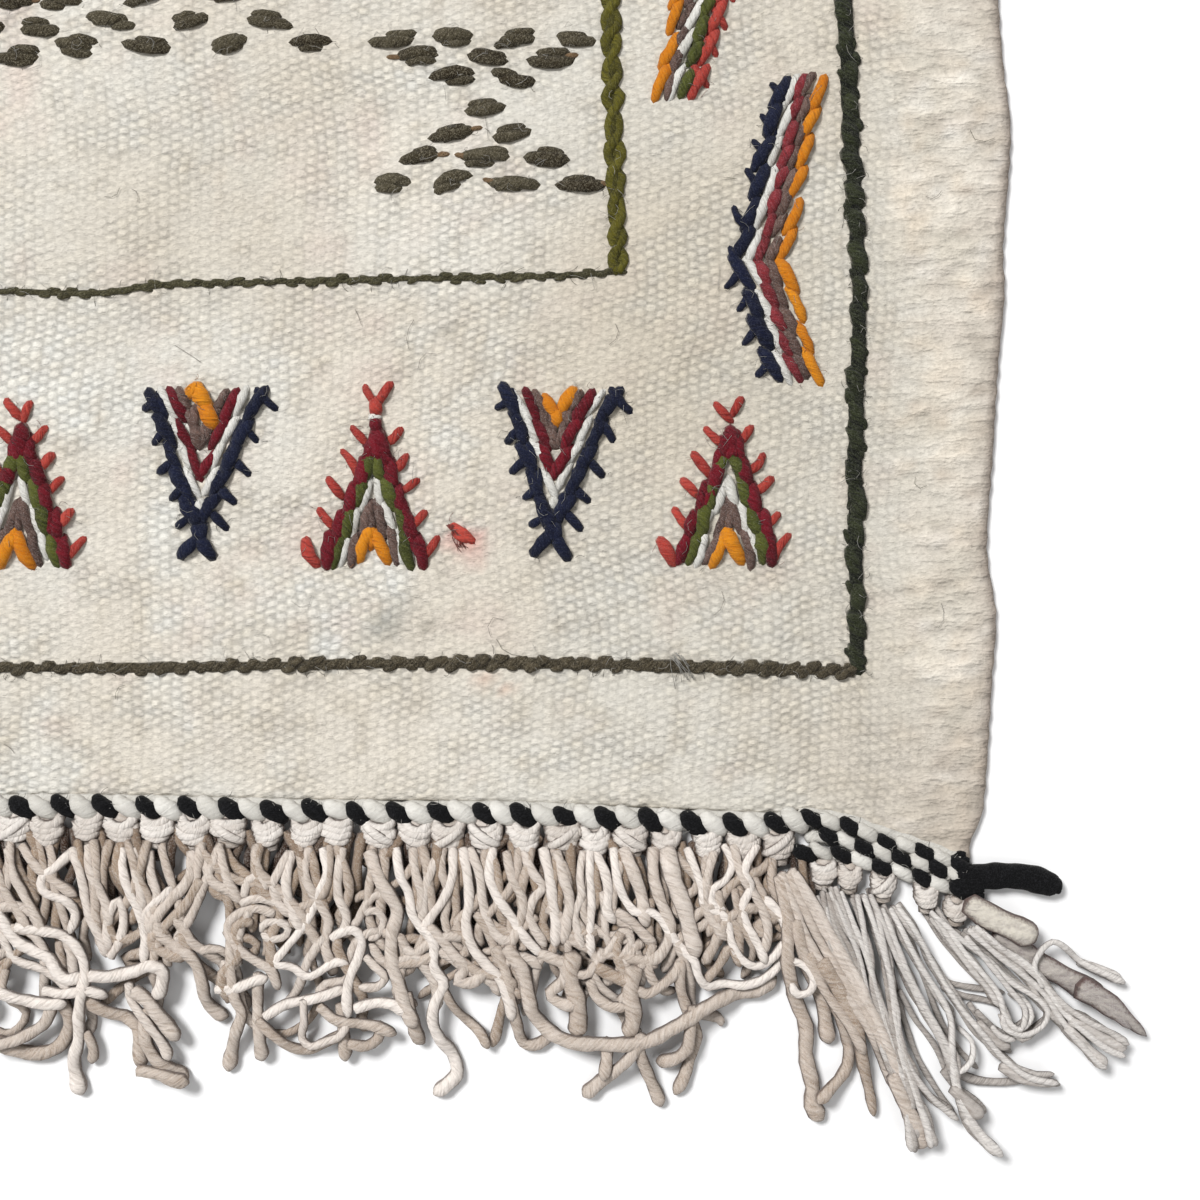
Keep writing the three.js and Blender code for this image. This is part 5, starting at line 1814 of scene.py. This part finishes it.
# How far left of the middle line each barb ends and how high it lies, above and below the bend. Its root is
# BARB_IN further right, and BARB_SLOPE lower where it is above the bend, or higher below it.
BARB_TIPS_ABOVE = [(-3, 43.6), (-6, 34.8), (-8.7, 26.7), (-10.8, 18), (-14.4, 7.2), (-16.2, -5.1)]
BARB_TIPS_BELOW = [(-17.4, -18.6), (-13.5, -25.2), (-11.7, -35.7), (-7.8, -45.3)]
BARB_IN = 3.6
BARB_SLOPE = 5.4


def chevron(yarns, random, place, lines):
    for tips, up in ((BARB_TIPS_ABOVE, -BARB_SLOPE), (BARB_TIPS_BELOW, BARB_SLOPE)):
        rows = [(tip, (tip[0] + BARB_IN, tip[1] + up)) for tip in tips]
        barbs(yarns, random, place, lines[0][0], CHEVRON_BARB_HALF, rows)
    for slot, top, bend, bottom, half, count in lines:
        upper, corner, lower = (top, CHEVRON_HALF), (bend, CHEVRON_BEND), (bottom, -CHEVRON_HALF)
        stitched_line(yarns, random, place, slot, upper, corner, count, -CHEVRON_SLANT, half)
        stitched_line(yarns, random, place, slot, corner, lower, count * 2 // 3, CHEVRON_SLANT, half)


TRIANGLE_PITCH = 106.2
CHEVRON_PITCH = 85.5
NAVY_CHEVRON_X = 228.3
RED_CHEVRON_X = 203.7


def band_of_triangles(yarns, random, turned):
    """Triangles that point up and down by turns along the near end, or turned half round at the far end."""
    sign = -1 if turned else 1
    for k in range(-2, 3):
        place = placing(sign * k * TRIANGLE_PITCH, sign * TRIANGLE_Y, turned)
        lines = POINT_UP_LINES + (BIG_FORK if k % 2 else SMALL_FORK)
        barbs(yarns, random, place, CORAL, HOOK_HALF, POINT_UP_HOOK)
        triangle(yarns, random, place, lines, CORAL, POINT_UP_BARBS)
    for k in (-1.5, -0.5, 0.5, 1.5):
        place = placing(sign * k * TRIANGLE_PITCH, sign * TRIANGLE_Y, turned)
        lines = POINT_DOWN_LINES
        if k in (-1.5, 0.5):
            lines = [line for line in lines if line[0] != ORANGE] + ORANGE_ARCH
        triangle(yarns, random, place, lines, NAVY, POINT_DOWN_BARBS)


def band_of_chevrons(yarns, random, turned):
    """Chevrons that point in and out by turns along the right side, or turned half round at the left."""
    sign = -1 if turned else 1
    for k in range(-2, 3):
        pointing_in = k % 2 == 0
        x, lines = (NAVY_CHEVRON_X, NAVY_CHEVRON) if pointing_in else (RED_CHEVRON_X, RED_CHEVRON)
        place = placing(sign * x, sign * k * CHEVRON_PITCH, turned == pointing_in)
        chevron(yarns, random, place, lines)


def motifs():
    random = np.random.default_rng(41)
    bands = [
        ("triangles_near", band_of_triangles, False), ("triangles_far", band_of_triangles, True),
        ("chevrons_right", band_of_chevrons, False), ("chevrons_left", band_of_chevrons, True),
    ]
    for name, band, turned in bands:
        yarns = Yarns()
        band(yarns, random, turned)
        yarns.piece(name, motif_wools)


# Dots of the field

dot_wool = wool("heather wool", "282012", "4b4535", "171108", "958d79", 0.5, fuzz=0.6)
tail_wool = wool("brown tail wool", "5a442e", "7b6348", "3b2c1c", "a39179", 0.4)


DOT, DOT_HAIR, DOT_TAIL = range(3)
TAIL_CHANCE = 0.22
# The three lengths of a dot: how far aside, length as a share of the dot's, and half thickness.
DOT_FLOATS = [(0.0, 1.0, 2.0), (1.25, 0.68, 1.5), (-1.25, 0.68, 1.5)]


def dot(yarns, random, x, y):
    """A fat float of loose yarn, thick in the middle and drawn out to a point at both ends."""
    slant = math.radians(random.normal(3, 7))
    reach = random.uniform(6.8, 8.3)
    way = way_at(slant)
    side = left_of(way)
    middle = np.array([x, y])
    tone = random.uniform(0.15, 0.85)
    for out, share, half in DOT_FLOATS:
        at = middle + side * (out + random.normal(0, 0.3)) + way * random.normal(0, 1.6 if out else 0.5)
        own = way * reach * share * random.uniform(0.85, 1.12)
        shade = tone + random.uniform(-0.15, 0.15)
        bow = random.normal(0, 0.05)
        stitch(yarns, random, at - own, at + own, half, DOT, shade, bow, 0.15, 0.25, DOT_HAIR, steps=6)
    for _ in range(2):
        root = middle + random.normal(0, 2, 2)
        hair(yarns, random, root, random.uniform(0, 6), 5, 6.6, 6.2, DOT_HAIR, curl=2.0)
    if random.uniform() < TAIL_CHANCE:
        end = way * reach * random.choice([-1, 1])
        tail = middle + end * 1.25 + side * random.uniform(-1, 1.6)
        stitch(yarns, random, tail, middle + end * 0.5, 0.85, DOT_TAIL, rise=0.1, hairs=0, steps=5)


# Rows of the dots in one hourglass: height above its waist, and how many dots.
HOURGLASS = [(20.7, 4), (15, 3), (8.4, 2), (0, 1), (-8.1, 2), (-15.3, 3), (-23.1, 4)]
HOURGLASS_PITCH = 18.9
HOURGLASS_X = 139.5
# Small triangles of dots: x, height of the four dots over the waist, 1 where it points up, and the pitch
# of the dots across and up. One stands at each side of the axis, one hangs on it.
SIDE_TRIANGLE = (51, 18.9, 1, 23.6, 7.2)
MIDDLE_TRIANGLE = (-2, 41, -1, 14.6, 8.6)
WAIST_Y = -134.7
FRIEZE_PITCH = 67.35


def row_of_dots(yarns, random, x, y, count, pitch):
    for k in range(count):
        dot(yarns, random, x + (k - (count - 1) / 2) * pitch + random.normal(0, 0.6), y)


def hourglass(yarns, random, x, waist):
    for up, count in HOURGLASS:
        row_of_dots(yarns, random, x, waist + up, count, HOURGLASS_PITCH)


def small_triangle(yarns, random, side, waist, shape):
    """Four dots, three, two and one, with the four at the base."""
    x, base, upward, pitch, row_height = shape
    for row in range(4):
        y = waist + base + upward * row * row_height
        row_of_dots(yarns, random, side * x, y, 4 - row, pitch)


def field_of_dots():
    random = np.random.default_rng(51)
    yarns = Yarns()
    for row in range(5):
        waist = WAIST_Y + row * FRIEZE_PITCH
        for side in (-1, 1):
            hourglass(yarns, random, side * HOURGLASS_X, waist)
            small_triangle(yarns, random, side, waist, SIDE_TRIANGLE)
        small_triangle(yarns, random, 1, waist, MIDDLE_TRIANGLE)
    piece = yarns.piece("dots", [dot_wool, white_wool, tail_wool])


# Tufts of fibres that lie on the cloth: x, y, heading, length, wool and how many fibres.
TUFTS = [
    (129, -260.5, -0.65, 8, CORAL, 18), (131, -262, -1.2, 6, CORAL, 12), (196, -299, -0.9, 9, CREAM, 14),
]
TUFT_HALF = 0.11
STRAY_HAIRS = 150
STRAY_REACH = (285, 330)


def stray_fibres():
    random = np.random.default_rng(71)
    yarns = Yarns()
    for x, y, heading, length, slot, count in TUFTS:
        for _ in range(count):
            root = np.array([x, y]) + random.normal(0, 0.7, 2)
            own = length * random.uniform(0.6, 1.1)
            hair(yarns, random, root, heading + random.normal(0, 0.15), own, 6.0, 5.2, slot, 0.35, TUFT_HALF)
    stitch(yarns, random, (128.6, -259.8), (136.8, -266.2), 1.6, CORAL, tone=1.1, bow=0.06, rise=0.2, hairs=5)
    stitch(yarns, random, (129.5, -261.6), (135.0, -265.0), 1.2, CORAL, tone=0.9, bow=-0.1, rise=0.3, hairs=4)
    for _ in range(STRAY_HAIRS):
        x, y = (random.uniform(-reach, reach) for reach in STRAY_REACH)
        level = float(cloth_top(x, y)) + 0.7
        slot = random.choice([BROWN, OLIVE, CREAM], p=[0.5, 0.2, 0.3])
        hair(yarns, random, (x, y), random.uniform(0, 6), random.uniform(4, 10), level, level, slot)
    yarns.piece("stray_fibres", motif_wools)


camera()
studio()
floor()
woven_cloth()
twined_edges()
fringes()
borders()
motifs()
field_of_dots()
stray_fibres()
